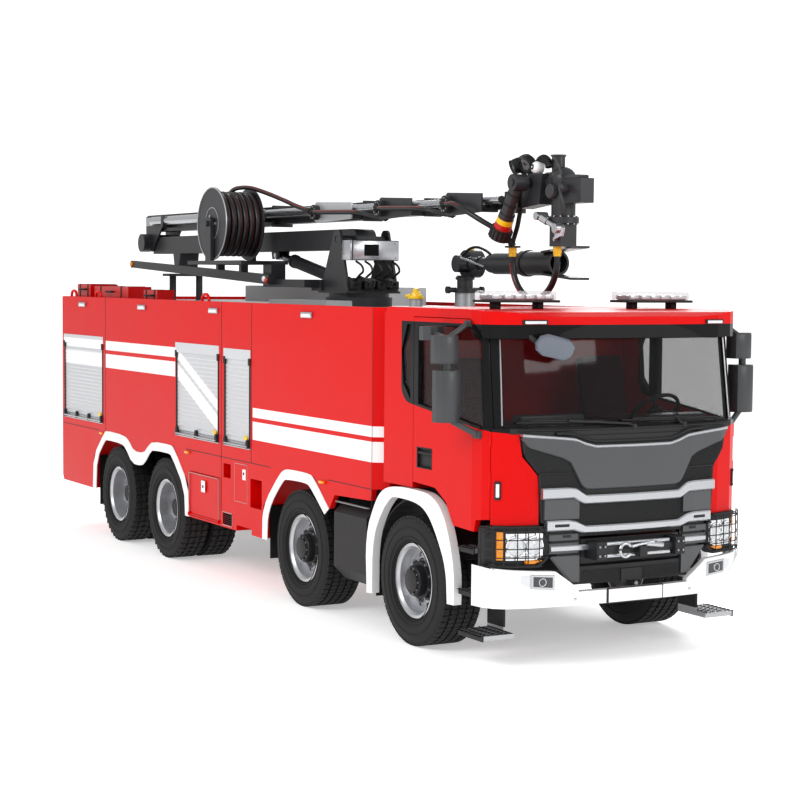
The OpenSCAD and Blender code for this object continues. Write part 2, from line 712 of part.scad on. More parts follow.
// One shutter curtain from x0 to x1, its slats as a saw-tooth face, on the right side
module curtain(x0, x1, z0, z1) {
    n = floor((z1 - z0 - 130) / slat);
    front = [for (i = [0 : n - 1], s = [0 : 1]) [s == 0 ? -14 : -8, z0 + 20 + (i + (s == 0 ? 0.15 : 0.9)) * slat]];
    translate([x0, 0, 0])
        rotate([90, 0, 90])
            linear_extrude(x1 - x0)
                polygon(concat([[10, z0], [-16, z0], [-16, z0 + 20]], front, [[-8, z1 - 110], [-26, z1 - 100], [-26, z1],
                    [10, z1]]));
}
module shutters() color([0.78, 0.79, 0.8]) {
    pair()
        for (f = shutter_rows)
            translate([0, -body_half + 20, 0])
                curtain(f[0], f[1], f[2], f[3]);
    translate([body_rear + 20, 0, 0])
        rotate([0, 0, -90])
            curtain(-rear_shutter[0], rear_shutter[0], rear_shutter[1], rear_shutter[2]);
}
// An open outline with its corners cut off
function eased(p) = concat([p[0]], [for (i = [0 : len(p) - 2], t = [0.25, 0.75]) p[i] * (1 - t) + p[i + 1] * t],
    [p[len(p) - 1]]);
// Arch trims: outer outlines then inner ones, x and z
rear_arch_out = [[-3830, 520], [-3800, 900], [-3450, 1190], [-3380, 1222], [-2815, 1212], [-2670, 1160], [-2534, 1064],
    [-2227, 1064], [-2090, 1156], [-1960, 1213], [-1476, 1219], [-1383, 1196], [-997, 851], [-967, 520]];
rear_arch_in = [[-1070, 520], [-1095, 800], [-1440, 1110], [-1540, 1125], [-1940, 1120], [-2026, 1100], [-2195, 965],
    [-2295, 920], [-2570, 920], [-2780, 1078], [-2905, 1112], [-3350, 1118], [-3435, 1100], [-3690, 880], [-3725, 520]];
arch2_out = [[800, 520], [810, 830], [1155, 1152], [1250, 1210], [1350, 1231], [1770, 1232], [1860, 1206], [2166, 958]];
arch2_in = [[2085, 900], [1805, 1113], [1724, 1141], [1325, 1134], [1241, 1112], [925, 813], [905, 520]];
fender_out = [[2862, 325], [2835, 819], [3003, 1123], [3132, 1237], [3352, 1284], [3760, 1284], [3914, 1268],
    [4067, 1189], [4187, 1020], [4290, 709], [4285, 444]];
fender_in = [[4180, 440], [4160, 720], [4010, 960], [3866, 1120], [3692, 1185], [3354, 1193], [3263, 1178],
    [3098, 1025], [2961, 780], [2958, 335]];
module white_trims() color([0.9, 0.9, 0.9])
    pair() {
        side_plate(concat(eased(rear_arch_out), eased(rear_arch_in)), -body_half - 8, -body_half);
        side_plate(concat(eased(eased(arch2_out)), eased(eased(arch2_in))), -body_half - 8, -body_half);
        side_plate(concat(eased(eased(fender_out)), eased(eased(fender_in))), -body_half, -body_half + 70);
    }
// Black arch liner over one wheel, from the angle a0 to a1
module liner(x, r, a0, a1, y0, y1) {
    pts = [for (i = [0 : 16]) let (a = a0 + (a1 - a0) * i / 16) [x + (r + 14) * cos(a), wheel_z + (r + 14) * sin(a)]];
    inn = [for (i = [16 : -1 : 0]) let (a = a0 + (a1 - a0) * i / 16) [x + r * cos(a), wheel_z + r * sin(a)]];
    side_plate(concat(pts, inn), y0, y1);
}
module mudguards() color([0.05, 0.05, 0.05])
    pair() {
        liner(axle_x[0], 655, 22, 165, -body_half + 70, -body_half + 430);
        // Bracket from the rail to the front liner
        box([axle_x[0] - 40, -body_half + 410, wheel_z + 669], [axle_x[0] + 40, -rail_in - rail_w, wheel_z + 700]);
        box([axle_x[0] - 40, -rail_in - rail_w - 40, rail_top - 60],
            [axle_x[0] + 40, -rail_in - rail_w, wheel_z + 669]);
        // Flaps behind the wheels: x, upper edge, lower edge
        for (f = [[2905, 900, 300], [818.5, 828, 330], [-3791.5, 900, 330]])
            box([f[0] - 8, -body_half + 70, f[2]], [f[0] + 8, -body_half + 380, f[1]]);
    }
module side_boxes() color([0.07, 0.07, 0.08])
    pair() {
        difference() {
            box([2230, -1235, 350], [2825, -760, 1030]);
            // Bevelled outer edges
            translate([0, -1235, 350])
                rotate([45, 0, 0])
                    box([2200, -80, -80], [2950, 80, 80]);
            translate([0, -1235, 1030])
                rotate([45, 0, 0])
                    box([2200, -60, -60], [2950, 60, 60]);
        }
        box([2400, -760, 740], [2480, -rail_in - rail_w, 900]);
        box([2650, -760, 740], [2730, -rail_in - rail_w, 900]);
    }
module roof_gear() color([0.6, 0.61, 0.62]) {
    // Chests on the roof: low corner, high corner
    for (f = [[[-3700, body_half - 630, deck_z], [-250, body_half - 130, 2880]],
        [[-4780, -body_half + 150, deck_z], [-4330, -body_half + 490, 2880]],
        [[-4250, -body_half + 170, deck_z], [-3150, -body_half + 450, 2860]],
        [[-2750, -body_half + 200, deck_z], [-2350, -body_half + 400, 2830]]])
        box(f[0], f[1]);
    // Rest of the boom: two posts and a flat pad
    for (y = [-170, 170])
        bar_z(-4050, y, deck_z, 2985, 40);
    box([-4150, -260, 2985], [-3950, 260, 3015]);
    // Plinth of the turret and tray round it
    bar_z(slew_x, 0, deck_z, 2790, 330, 64);
    box([-250, -700, deck_z], [1000, -420, 2760]);
    // Foot of the roof monitor
    bar_z(monitor_x, monitor_y, deck_z, 2850, 95);
    // Beacon foot on the roof
    bar_z(2350, -500, deck_z, 2800, 60);
}

// Roof monitor
monitor_x = 1622;
monitor_y = 450;
monitor_z = 3120;
module monitor_base() color([0.2, 0.21, 0.22]) {
    translate([monitor_x, monitor_y, 0]) {
        bar_z(0, 0, 2850 + fit, 2890, 120);
        bar_z(0, 0, 2890, 3000, 75);
        // Housing of the tilt drive, with its pin towards the truck's middle
        bar_y(0, 0, 150, monitor_z, 130);
        bar_y(0, -105, 0, monitor_z, 30);
    }
}
module monitor_barrel() color([0.2, 0.21, 0.22]) {
    translate([monitor_x, monitor_y, monitor_z])
        difference() {
            union() {
                bar_y(0, -105, -fit, 0, 80);
                bar_x(60, 560, -60, 0, 55);
                bar_x(560, 640, -60, 0, 85);
                bar_x(640, 1150, -60, 0, 98);
                bar_x(1120, 1180, -60, 0, 118);
                bar_x(1150, 1640, -60, 0, 108);
                // Two lips of the foam deflector
                for (s = [-1, 1])
                    translate([1560, -60, s * 100])
                        rotate([0, -s * 5, 0])
                            box([-60, -95, -9], [400, 95, 9]);
            }
            bar_x(1350, 1660, -60, 0, 86);
            bar_y(0, -130, 1, 0, 30 + fit);
        }
}

// Boom
module turret() color([0.2, 0.21, 0.22]) {
    // Slew ring and base plate
    bar_z(slew_x, 0, 2790 + fit, turret_z - 20, 300, 64);
    box([slew_x - 300, -300, turret_z - 20], [slew_x + 300, 300, turret_z]);
    // Side plates, with the holes of the boom's pin and the cylinder's pin
    pair()
        difference() {
            side_plate([[60, turret_z], [650, turret_z], [470, 3425], [440, 3450], [370, 3450], [340, 3425]], -280, -255);
            bar_y(lift_x, -290, -250, lift_z, pin_r + fit);
        }
    // Pin of the cylinder, and its two lugs
    bar_y(barrel_x, -255, 255, barrel_z, 25);
    // Control box between the plates, facing forward
    box([520, -255, 3150], [690, 255, 3345]);
    box([500, -255, turret_z], [640, 255, 2980]);
}
// Foot of the lift cylinder on the turret, and its eye on the lower boom, x and z
barrel_x = 130;
barrel_z = 2925;
eye_x = -1450;
eye_z = 3215;
lift_dir = atan2(eye_z - barrel_z, eye_x - barrel_x);
lift_len = norm([eye_x - barrel_x, eye_z - barrel_z]);
module along_lift() {
    translate([barrel_x, 0, barrel_z])
        rotate([0, -lift_dir, 0])
            children();
}
module lift_barrel() color([0.2, 0.21, 0.22])
    along_lift()
        difference() {
            union() {
                bar_y(0, -60, 60, 0, 50);
                bar_x(30, lift_len - 350, 0, 0, 65);
                bar_x(lift_len - 390, lift_len - 350, 0, 0, 72);
            }
            bar_y(0, -70, 70, 0, 25 + fit);
            bar_x(90, lift_len - 340, 0, 0, 38 + fit);
        }
module lift_rod() color([0.75, 0.76, 0.78])
    along_lift() {
        bar_x(110, lift_len - 30, 0, 0, 38);
        bar_y(lift_len, -40, 40, 0, 48);
        // Cross pin that lies in the open lugs of the boom
        bar_y(lift_len, -66, 66, 0, 25);
    }
lower_top = lift_z + lower_h / 2;
lower_bot = lift_z - lower_h / 2;
module lower_boom() color([0.2, 0.21, 0.22]) {
    difference() {
        union() {
            box([elbow_x + 60, -lower_w / 2, lower_bot], [lift_x, lower_w / 2, lower_top]);
            bar_y(lift_x, -lower_w / 2, lower_w / 2, lift_z, lower_h / 2);
            bar_y(elbow_x, -lower_w / 2, lower_w / 2, elbow_z, 105);
            box([elbow_x, -lower_w / 2, elbow_z - 105], [elbow_x + 100, lower_w / 2, lower_top]);
            bar_y(lift_x, -275, 275, lift_z, pin_r);
        }
        bar_y(elbow_x, -300, 300, elbow_z, pin_r + fit);
        // The box is hollow
        box([elbow_x + 180, -lower_w / 2 + boom_t, lower_bot + boom_t],
            [lift_x - lower_h / 2 - 20, lower_w / 2 - boom_t, lower_top - boom_t]);
        // Slot for the cylinder's eye
        box([eye_x - 90, -46, lower_bot - 1], [eye_x + 420, 46, eye_z + 75]);
    }
    // Lugs for the cylinder's cross pin, open below
    for (y = [-66, 46])
        difference() {
            side_plate([[eye_x - 80, lower_bot], [eye_x - 62, eye_z - 40], [eye_x + 75, eye_z - 40],
                [eye_x + 95, lower_bot]], y, y + 20);
            bar_y(eye_x, y - 1, y + 21, eye_z, 25 + fit);
            side_plate([[eye_x - 25 - fit, eye_z], [eye_x - 40, eye_z - 50], [eye_x + 60, eye_z - 50],
                [eye_x + 25 + fit, eye_z]], y - 1, y + 21);
        }
    // Foot that comes down on the boom rest
    side_plate([[-4160, lower_bot], [-4100, 3020], [-4000, 3020], [-3940, lower_bot]], -120, 120);
}
knee_y = lower_w / 2 + 8;
module square_tube(x0, x1, s, t) {
    difference() {
        box([x0, -s / 2, upper_z - s / 2], [x1, s / 2, upper_z + s / 2]);
        box([x0 - 1, -s / 2 + t, upper_z - s / 2 + t], [x1 + 1, s / 2 - t, upper_z + s / 2 - t]);
    }
}
// Size of each boom box, one inside the other
s2 = upper_s - 2 * boom_t - 2 * boom_gap;
s3 = s2 - 2 * boom_t - 2 * boom_gap;
s4 = s3 - 2 * boom_t - 2 * boom_gap;
// Water pipe beside the boom: radius and place
pipe_y = -upper_s / 2 - 62;
module pipe_tube(x0, x1, r, t) {
    difference() {
        bar_x(x0, x1, pipe_y, upper_z + 20, r);
        bar_x(x0 - 1, x1 + 1, pipe_y, upper_z + 20, r - t);
    }
}
// Front collar of a box of size s that guides the next box of size n
module collar(x0, x1, s, n) {
    difference() {
        box([x0, -s / 2 - 14, upper_z - s / 2 - 14], [x1, s / 2 + 14, upper_z + s / 2 + 14]);
        box([x0 - 1, -n / 2 - fit, upper_z - n / 2 - fit], [x1 + 1, n / 2 + fit, upper_z + n / 2 + fit]);
    }
}
// Pulley bracket on the near side, from x0 to x1, with its round flange
module bracket(x0, x1, s) {
    y = pipe_y - 75;
    side_plate([[x0, upper_z - 60], [x0 + 60, upper_z - 105], [x1, upper_z - 80], [x1, upper_z + 80], [x0 + 60, upper_z + 105],
        [x0, upper_z + 60]], y, y + 14);
    bar_y(x0 + 90, y - 40, y, upper_z, 75);
    box([x1 - 90, y + 14, upper_z - 78], [x1 - 20, -s / 2, upper_z - 40]);
}
module upper_boom() color([0.2, 0.21, 0.22]) {
    square_tube(-5050, -1420, upper_s, boom_t);
    collar(-1420, -1380, upper_s, s2);
    // Knee plates beside the lower boom's end, and their pin
    pair()
        side_plate([[elbow_x - 100, elbow_z - 90], [elbow_x + 90, elbow_z - 100], [elbow_x + 420, upper_z - 40],
            [elbow_x + 420, upper_z + 80], [elbow_x - 120, upper_z + 80]], -knee_y - 20, -knee_y);
    pair()
        box([elbow_x - 100, -knee_y, upper_z - 40], [elbow_x + 400, -upper_s / 2, upper_z + 60]);
    bar_y(elbow_x, -knee_y - 130, knee_y + 130, elbow_z, pin_r);
    pair()
        bar_y(elbow_x, -knee_y - 130, -knee_y - 20, elbow_z, 110);
    // Rear water pipe and its clamps
    pipe_tube(-4700, -1500, 55, 5);
    for (x = [-4300, -3000, -1560])
        difference() {
            box([x, pipe_y - 62, upper_z - 60], [x + 60, -upper_s / 2, upper_z + 90]);
            bar_x(x - 1, x + 61, pipe_y, upper_z + 20, 54);
        }
}
module boom_section_2() color([0.7, 0.71, 0.72]) {
    square_tube(-3800, 640, s2, boom_t);
    collar(600, 640, s2, s3);
    pipe_tube(-3300, 560, 48, 5);
    bracket(-190, 620, s2);
    box([540, pipe_y + 45, upper_z - 40], [620, -s2 / 2, upper_z + 60]);
}
module boom_section_3() color([0.2, 0.21, 0.22]) {
    square_tube(-3000, 1800, s3, boom_t);
    collar(1760, 1800, s3, s4);
    pipe_tube(-2600, 1740, 41, 5);
    bracket(1150, 1790, s3);
    box([1710, pipe_y + 38, upper_z - 40], [1780, -s3 / 2, upper_z + 50]);
}
module boom_section_4() color([0.2, 0.21, 0.22]) {
    square_tube(-2000, 3150, s4, boom_t);
    bar_x(-1900, 3200, pipe_y, upper_z + 20, 34);
    bracket(2370, 3000, s4);
    box([2900, pipe_y + 28, upper_z - 40], [2980, -s4 / 2, upper_z + 50]);
    // End plate and fork of the head
    box([3150, -100, upper_z - 90], [3180, 100, upper_z + 90]);
    pair()
        difference() {
            box([3180, -100, upper_z - 50], [3340, -78, upper_z + 50]);
            bar_y(head_x, -110, -70, upper_z, 25 + fit);
        }
}
// Tilting head: its pin, and the pin of its nozzle
head_x = 3290;
nozzle_x = 3480;
nozzle_z = 3780;
module boom_head() color([0.2, 0.21, 0.22]) {
    bar_y(head_x, -100, 100, upper_z, 25);
    side_plate([[head_x - 40, upper_z - 40], [head_x + 40, upper_z - 60], [3640, 3600], [3680, 3850], [3500, 3860],
        [head_x - 30, upper_z + 50]], -73, 73);
    // Water column with its flange and lower box
    bar_z(3800, 60, 3440, 3800, 100);
    bar_z(3800, 60, 3440, 3490, 130);
    box([3720, -20, 3250], [3880, 140, 3440]);
    bar_x(3600, 3800, 60, 3780, 95);
    translate([3800, 60, 3800])
        sphere(r = 105, $fn = 48);
    bar_z(3720, 60, 3850, 4000, 55);
    // Lamps
    rod([3420, -40, 3900], [3350, -40, 3990], 62);
    bar_z(3460, -40, 3840, 3930, 30);
    box([3880, 0, 3600], [4130, 130, 3800]);
    // Nozzle pin
    bar_y(nozzle_x, -250, -73, nozzle_z, 30);
}
nozzle_dir = 237;
module boom_nozzle() color([0.2, 0.21, 0.22])
    translate([nozzle_x, 0, nozzle_z])
        rotate([0, -nozzle_dir, 0])
            difference() {
                union() {
                    bar_y(0, -240, -110, 0, 70);
                    bar_x(50, 300, -175, 0, 58);
                    bar_x(300, 440, -175, 0, 68);
                    bar_x(440, 540, -175, 0, 90);
                }
                bar_y(0, -260, -80, 0, 30 + fit);
                bar_x(480, 560, -175, 0, 62);
            }
// Reel frame on the turret, with the long beam under the boom
module reel_frame() color([0.2, 0.21, 0.22]) {
    // Inclined beam: x and z of its outline
    side_plate([[-4470, 3085], [-600, 2905], [-600, 3005], [-4470, 3165]], -540, -460);
    // Arm from the turret's base plate
    box([-900, -460, turret_z + 30], [60, -300, turret_z + 110]);
    box([-100, -300, turret_z], [120, -281, turret_z + 110]);
    box([-900, -460, turret_z + 110], [-700, -300, 3110]);
    // Cage round the reel
    for (x = [-2080, -1060])
        box([x - 20, -800, 3110], [x + 20, -270, 3150]);
    for (y = [-800, -310])
        box([-2080, y, 3110], [-700, y + 40, 3150]);
    for (x = [-1900, -1300])
        box([x - 30, -540, 2990], [x + 30, -460, 3110]);
    // Bearings of the reel
    for (y = [-800, -310])
        difference() {
            box([-1620, y, 3150], [-1480, y + 40, 3600]);
            bar_y(reel_x, y - 1, y + 41, reel_z, 30 + fit);
        }
}
reel_x = -1550;
reel_z = 3540;
reel_r = 385;
module hose_reel() color([0.15, 0.15, 0.16]) {
    bar_y(reel_x, -830, -265, reel_z, 30);
    for (y = [-750, -330])
        bar_y(reel_x, y, y + 12, reel_z, reel_r, 96);
    bar_y(reel_x, -738, -330, reel_z, 180, 64);
    // Wound hose as rings
    for (i = [0 : 5])
        translate([reel_x, -705 + i * 68, reel_z])
            rotate([90, 0, 0])
                rotate_extrude($fn = 64)
                    translate([reel_r - 75, 0])
                        circle(r = 33.5, $fn = 24);
    bar_y(reel_x, -738, -331, reel_z, reel_r - 76, 64);
}

chassis_frame();
engine_block();
axles();
knuckle_1r();
knuckle_1l();
knuckle_2r();
knuckle_2l();
wheel_rim(0, false);  // rim_1r
wheel_rim(0, true);  // rim_1l
wheel_rim(1, false);  // rim_2r
wheel_rim(1, true);  // rim_2l
wheel_rim(2, false);  // rim_3r
wheel_rim(2, true);  // rim_3l
wheel_rim(3, false);  // rim_4r
wheel_rim(3, true);  // rim_4l
wheel_tyre(0, false);  // tyre_1r
wheel_tyre(0, true);  // tyre_1l
wheel_tyre(1, false);  // tyre_2r
wheel_tyre(1, true);  // tyre_2l
wheel_tyre(2, false);  // tyre_3r
wheel_tyre(2, true);  // tyre_3l
wheel_tyre(3, false);  // tyre_4r
wheel_tyre(3, true);  // tyre_4l
cab_shell();
cab_glass();
cab_interior();
front_panel();
lamps();
bumper();
cab_steps();
door_r();
door_l();
door_glass_r();
door_glass_l();
mirror_r();
mirror_l();
body_walls();
body_deck();
body_skirts();
shutters();
white_trims();
mudguards();
side_boxes();
flap_r();
flap_l();
roof_gear();
turret();
reel_frame();
hose_reel();
lower_boom();
lift_barrel();
lift_rod();
upper_boom();
boom_section_2();
boom_section_3();
boom_section_4();
boom_head();
boom_nozzle();
monitor_base();
monitor_barrel();
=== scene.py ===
# %% [markdown]
# # A four-axle fire truck with a folding roof boom
# The solid model of the truck comes in as a fixed frame. This script only dresses it: it gives every
# solid a finish and adds the small things that are too fine for the solid model.
# Every piece is made in metres in the truck's own frame: X forward, Y to the left, Z up.

import math

import bmesh
import bpy
from mathutils import Matrix, Vector


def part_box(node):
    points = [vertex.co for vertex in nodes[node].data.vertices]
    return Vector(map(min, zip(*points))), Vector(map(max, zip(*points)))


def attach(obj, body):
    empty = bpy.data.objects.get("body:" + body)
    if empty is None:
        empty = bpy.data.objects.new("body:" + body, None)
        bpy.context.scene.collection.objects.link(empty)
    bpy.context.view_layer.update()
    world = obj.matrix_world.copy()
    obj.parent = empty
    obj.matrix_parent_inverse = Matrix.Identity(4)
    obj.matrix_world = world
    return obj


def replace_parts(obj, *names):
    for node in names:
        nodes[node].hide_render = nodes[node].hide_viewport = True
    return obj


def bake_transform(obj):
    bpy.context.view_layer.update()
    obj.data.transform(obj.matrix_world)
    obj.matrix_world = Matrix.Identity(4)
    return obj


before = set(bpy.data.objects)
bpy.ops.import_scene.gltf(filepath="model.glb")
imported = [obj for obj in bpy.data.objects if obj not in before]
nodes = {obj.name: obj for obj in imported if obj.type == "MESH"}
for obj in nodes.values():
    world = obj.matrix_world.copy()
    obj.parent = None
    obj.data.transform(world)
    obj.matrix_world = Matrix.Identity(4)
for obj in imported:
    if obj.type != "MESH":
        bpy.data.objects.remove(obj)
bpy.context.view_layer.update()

# %% [markdown]
# ## Camera, floor and light
# The camera was solved from the picture: a long lens, well in front of the right front corner and
# about as high as the cab roof. The set is a white studio: a pale floor, a white surround and three
# large soft lamps, so that gloss paint shows long calm reflections.

# %% Camera
camera_at = (16.286, -8.514, 2.967)
yaw, pitch, roll = math.radians(29.4291), math.radians(3.7804), math.radians(0.4859)
forward = Vector((-math.cos(yaw) * math.cos(pitch), math.sin(yaw) * math.cos(pitch), -math.sin(pitch)))
level = Vector((math.sin(yaw), math.cos(yaw), 0.0))
upright = level.cross(forward)
side = math.cos(roll) * level + math.sin(roll) * upright
top = -math.sin(roll) * level + math.cos(roll) * upright
camera_data = bpy.data.cameras.new("camera")
camera_data.lens, camera_data.sensor_width = 82.01, 36.0
camera_data.clip_end = 200.0
camera = bpy.data.objects.new("camera", camera_data)
bpy.context.scene.collection.objects.link(camera)
camera.matrix_world = Matrix(((side.x, top.x, -forward.x, camera_at[0]),
        (side.y, top.y, -forward.y, camera_at[1]), (side.z, top.z, -forward.z, camera_at[2]),
        (0.0, 0.0, 0.0, 1.0)))
bpy.context.scene.camera = camera
print("camera looks along", [round(v, 3) for v in forward])


# %% Floor, surround and lamps
def wire(tree, node, **inputs):
    """Gives each named input a value, or a link if the value is another node's socket."""
    for name, value in inputs.items():
        socket = node.inputs[name.replace("_", " ")]
        if isinstance(value, bpy.types.NodeSocket):
            tree.links.new(value, socket)
        else:
            socket.default_value = value
    return node


def add(tree, kind, **inputs):
    return wire(tree, tree.nodes.new(kind), **inputs)


scene = bpy.context.scene
scene.view_settings.view_transform, scene.view_settings.look = "Standard", "Medium High Contrast"
scene.world = bpy.data.worlds.new("studio")
scene.world.use_nodes = True
sky = scene.world.node_tree
lit, backdrop = sky.nodes["Background"], add(sky, "ShaderNodeBackground")
for background, strength in ((lit, 0.62), (backdrop, 1.0)):
    wire(sky, background, Color=(1.0, 1.0, 1.0, 1.0), Strength=strength)
seen = add(sky, "ShaderNodeLightPath")
either = add(sky, "ShaderNodeMixShader", Fac=seen.outputs["Is Camera Ray"])
sky.links.new(lit.outputs["Background"], either.inputs[1])
sky.links.new(backdrop.outputs["Background"], either.inputs[2])
sky.links.new(either.outputs["Shader"], sky.nodes["World Output"].inputs["Surface"])


def studio_lamp(name, place, target, size, power):
    data = bpy.data.lights.new(name, "AREA")
    data.shape, data.size, data.size_y, data.energy = "RECTANGLE", size[0], size[1], power
    lamp = bpy.data.objects.new(name, data)
    lamp.location = place
    lamp.rotation_euler = (Vector(target) - Vector(place)).to_track_quat("-Z", "Y").to_euler()
    scene.collection.objects.link(lamp)


studio_lamp("key_lamp", (7, -14, 11), (0, 0, 1.5), (9, 5), 1000)
studio_lamp("front_lamp", (15, 4, 7), (4, 0, 1.5), (6, 5), 420)
studio_lamp("back_lamp", (-10, 10, 9), (0, 0, 2), (8, 5), 620)


def plain_object(name, mesh):
    obj = bpy.data.objects.new(name, mesh)
    scene.collection.objects.link(obj)
    return obj


floor_mesh = bpy.data.meshes.new("floor")
floor_mesh.from_pydata([(-60, -60, 0), (60, -60, 0), (60, 60, 0), (-60, 60, 0)], [], [(0, 1, 2, 3)])
floor = plain_object("floor", floor_mesh)
print("lamps: 3")

# %% [markdown]
# ## Finishes
# Each finish is one Principled shader whose colour, roughness and bump vary a little over the
# surface. Real paint isn't one flat number: it has a fine ripple from spraying, and its gloss
# changes slightly from panel to panel. The patterns read Object coordinates, which are metres in the
# truck's frame, so a scale of 400 gives a ripple of about two or three millimetres.


# %% A finish with a slow colour drift and a fine grain
def finish(name, colour, rough, metal=0.0, coat=0.0, drift=0.06, drift_scale=1.6, grain_scale=420.0,
           grain=0.03, rough_drift=0.06, specular=0.5):
    mat = bpy.data.materials.new(name)
    mat.use_nodes = True
    mat.diffuse_color = (*colour, 1.0)
    tree = mat.node_tree
    place = add(tree, "ShaderNodeTexCoord").outputs["Object"]
    slow = add(tree, "ShaderNodeTexNoise", Scale=drift_scale, Detail=4.0, Vector=place).outputs["Fac"]
    mix = tree.nodes.new("ShaderNodeMix")
    mix.data_type = "RGBA"
    wire(tree, mix, A=(*[max(0.0, c * (1 - drift)) for c in colour], 1.0),
         B=(*[min(1.0, c * (1 + drift)) for c in colour], 1.0), Factor=slow)
    gloss = add(tree, "ShaderNodeMapRange", To_Min=max(0.02, rough - rough_drift),
                To_Max=min(1.0, rough + rough_drift), Value=slow)
    fine = add(tree, "ShaderNodeTexNoise", Scale=grain_scale, Detail=2.0, Vector=place).outputs["Fac"]
    bump = add(tree, "ShaderNodeBump", Strength=grain, Distance=0.002, Height=fine)
    wire(tree, tree.nodes["Principled BSDF"], Metallic=metal, Coat_Weight=coat, Specular_IOR_Level=specular,
         Coat_Roughness=0.04, Base_Color=mix.outputs["Result"], Roughness=gloss.outputs["Result"],
         Normal=bump.outputs["Normal"])
    return mat


def red_gloss(name):
    return finish(name, (0.62, 0.002, 0.002), 0.34, coat=0.06, specular=0.18, drift=0.04, grain_scale=40,
                  grain=0.008)


red_paint = red_gloss("red_paint")
white_paint = finish("white_paint", (0.82, 0.82, 0.82), 0.3, coat=0.4, drift=0.03)
boom_paint = finish("boom_paint", (0.03, 0.031, 0.034), 0.42, coat=0.1, drift=0.15, grain=0.05)
frame_paint = finish("frame_paint", (0.018, 0.018, 0.02), 0.5, drift=0.2, grain=0.06)
rim_silver = finish("rim_silver", (0.55, 0.56, 0.58), 0.38, metal=0.75, drift=0.08, grain=0.03)
tyre_rubber = finish("tyre_rubber", (0.016, 0.016, 0.016), 0.75, drift=0.25, drift_scale=9, grain_scale=260,
                     grain=0.12)
black_plastic = finish("black_plastic", (0.016, 0.016, 0.017), 0.55, drift=0.15, grain_scale=700, grain=0.08)
dark_panel = finish("dark_panel", (0.045, 0.047, 0.05), 0.35, coat=0.2, drift=0.1)
mirror_grey = finish("mirror_grey", (0.055, 0.057, 0.06), 0.45, coat=0.1, drift=0.12, grain_scale=700,
                     grain=0.05)
shutter_metal = finish("shutter_metal", (0.66, 0.67, 0.69), 0.42, metal=0.35, drift=0.04)
tread_metal = finish("tread_metal", (0.42, 0.43, 0.44), 0.45, metal=0.7, drift=0.12, grain_scale=90,
                     grain=0.2)
rod_steel = finish("rod_steel", (0.62, 0.63, 0.65), 0.18, metal=1.0, drift=0.05)
cast_grey = finish("cast_grey", (0.07, 0.07, 0.075), 0.6, metal=0.3, drift=0.2, grain_scale=160, grain=0.15)
lamp_shell = finish("lamp_shell", (0.72, 0.74, 0.77), 0.12, coat=0.5, drift=0.08, drift_scale=14)
floor_white = finish("floor_white", (0.92, 0.92, 0.92), 0.6, drift=0.01)
wire(floor_white.node_tree, floor_white.node_tree.nodes["Principled BSDF"],
     Emission_Color=(1.0, 1.0, 1.0, 1.0), Emission_Strength=0.35)
floor.data.materials.append(floor_white)
print("finishes:", len(bpy.data.materials))


# %% Glass
def glass(name, colour, alpha, rough=0.03):
    mat = finish(name, colour, rough, coat=0.3, drift=0.1, grain=0.0, rough_drift=0.01)
    mat.node_tree.nodes["Principled BSDF"].inputs["Alpha"].default_value = alpha
    return mat


pane_alpha = 0.26
pane_glass = glass("pane_glass", (0.01, 0.012, 0.014), pane_alpha)
print("pane glass lets", 1 - pane_alpha, "of the light through")

# %% [markdown]
# ## Finishes on the solids
# Most solids have one finish. The table says which. Those with two paints follow below.


# %% Give every solid its finish
def repaint(mat, *names):
    for name in names:
        nodes[name].data.materials.clear()
        nodes[name].data.materials.append(mat)


for mat, names in ((frame_paint, "chassis_frame axles"), (pane_glass, "cab_glass door_glass_r door_glass_l"),
                   (cast_grey, "engine_block knuckle_1r knuckle_1l knuckle_2r knuckle_2l"),
                   (black_plastic, "cab_interior mudguards side_boxes"), (dark_panel, "front_panel"),
                   (lamp_shell, "lamps"), (white_paint, "bumper white_trims"),
                   (mirror_grey, "mirror_r mirror_l"), (tread_metal, "body_deck"), (rod_steel, "lift_rod"),
                   (boom_paint, "turret reel_frame lower_boom lift_barrel"),
                   (boom_paint, "boom_head boom_nozzle monitor_base")):
    repaint(mat, *names.split())
for name in nodes:
    if name.startswith(("rim", "tyre")):
        repaint(rim_silver if name.startswith("rim") else tyre_rubber, name)
print("solids:", len(nodes))

# %% [markdown]
# ## Painted zones
# The cab's window band is black and the body has white stripes. Both are paint on one solid, so a
# finish can hold two paints and a mask made from Object coordinates. A mask is a small chain of maths
# nodes; `Chain` writes it in a readable way.


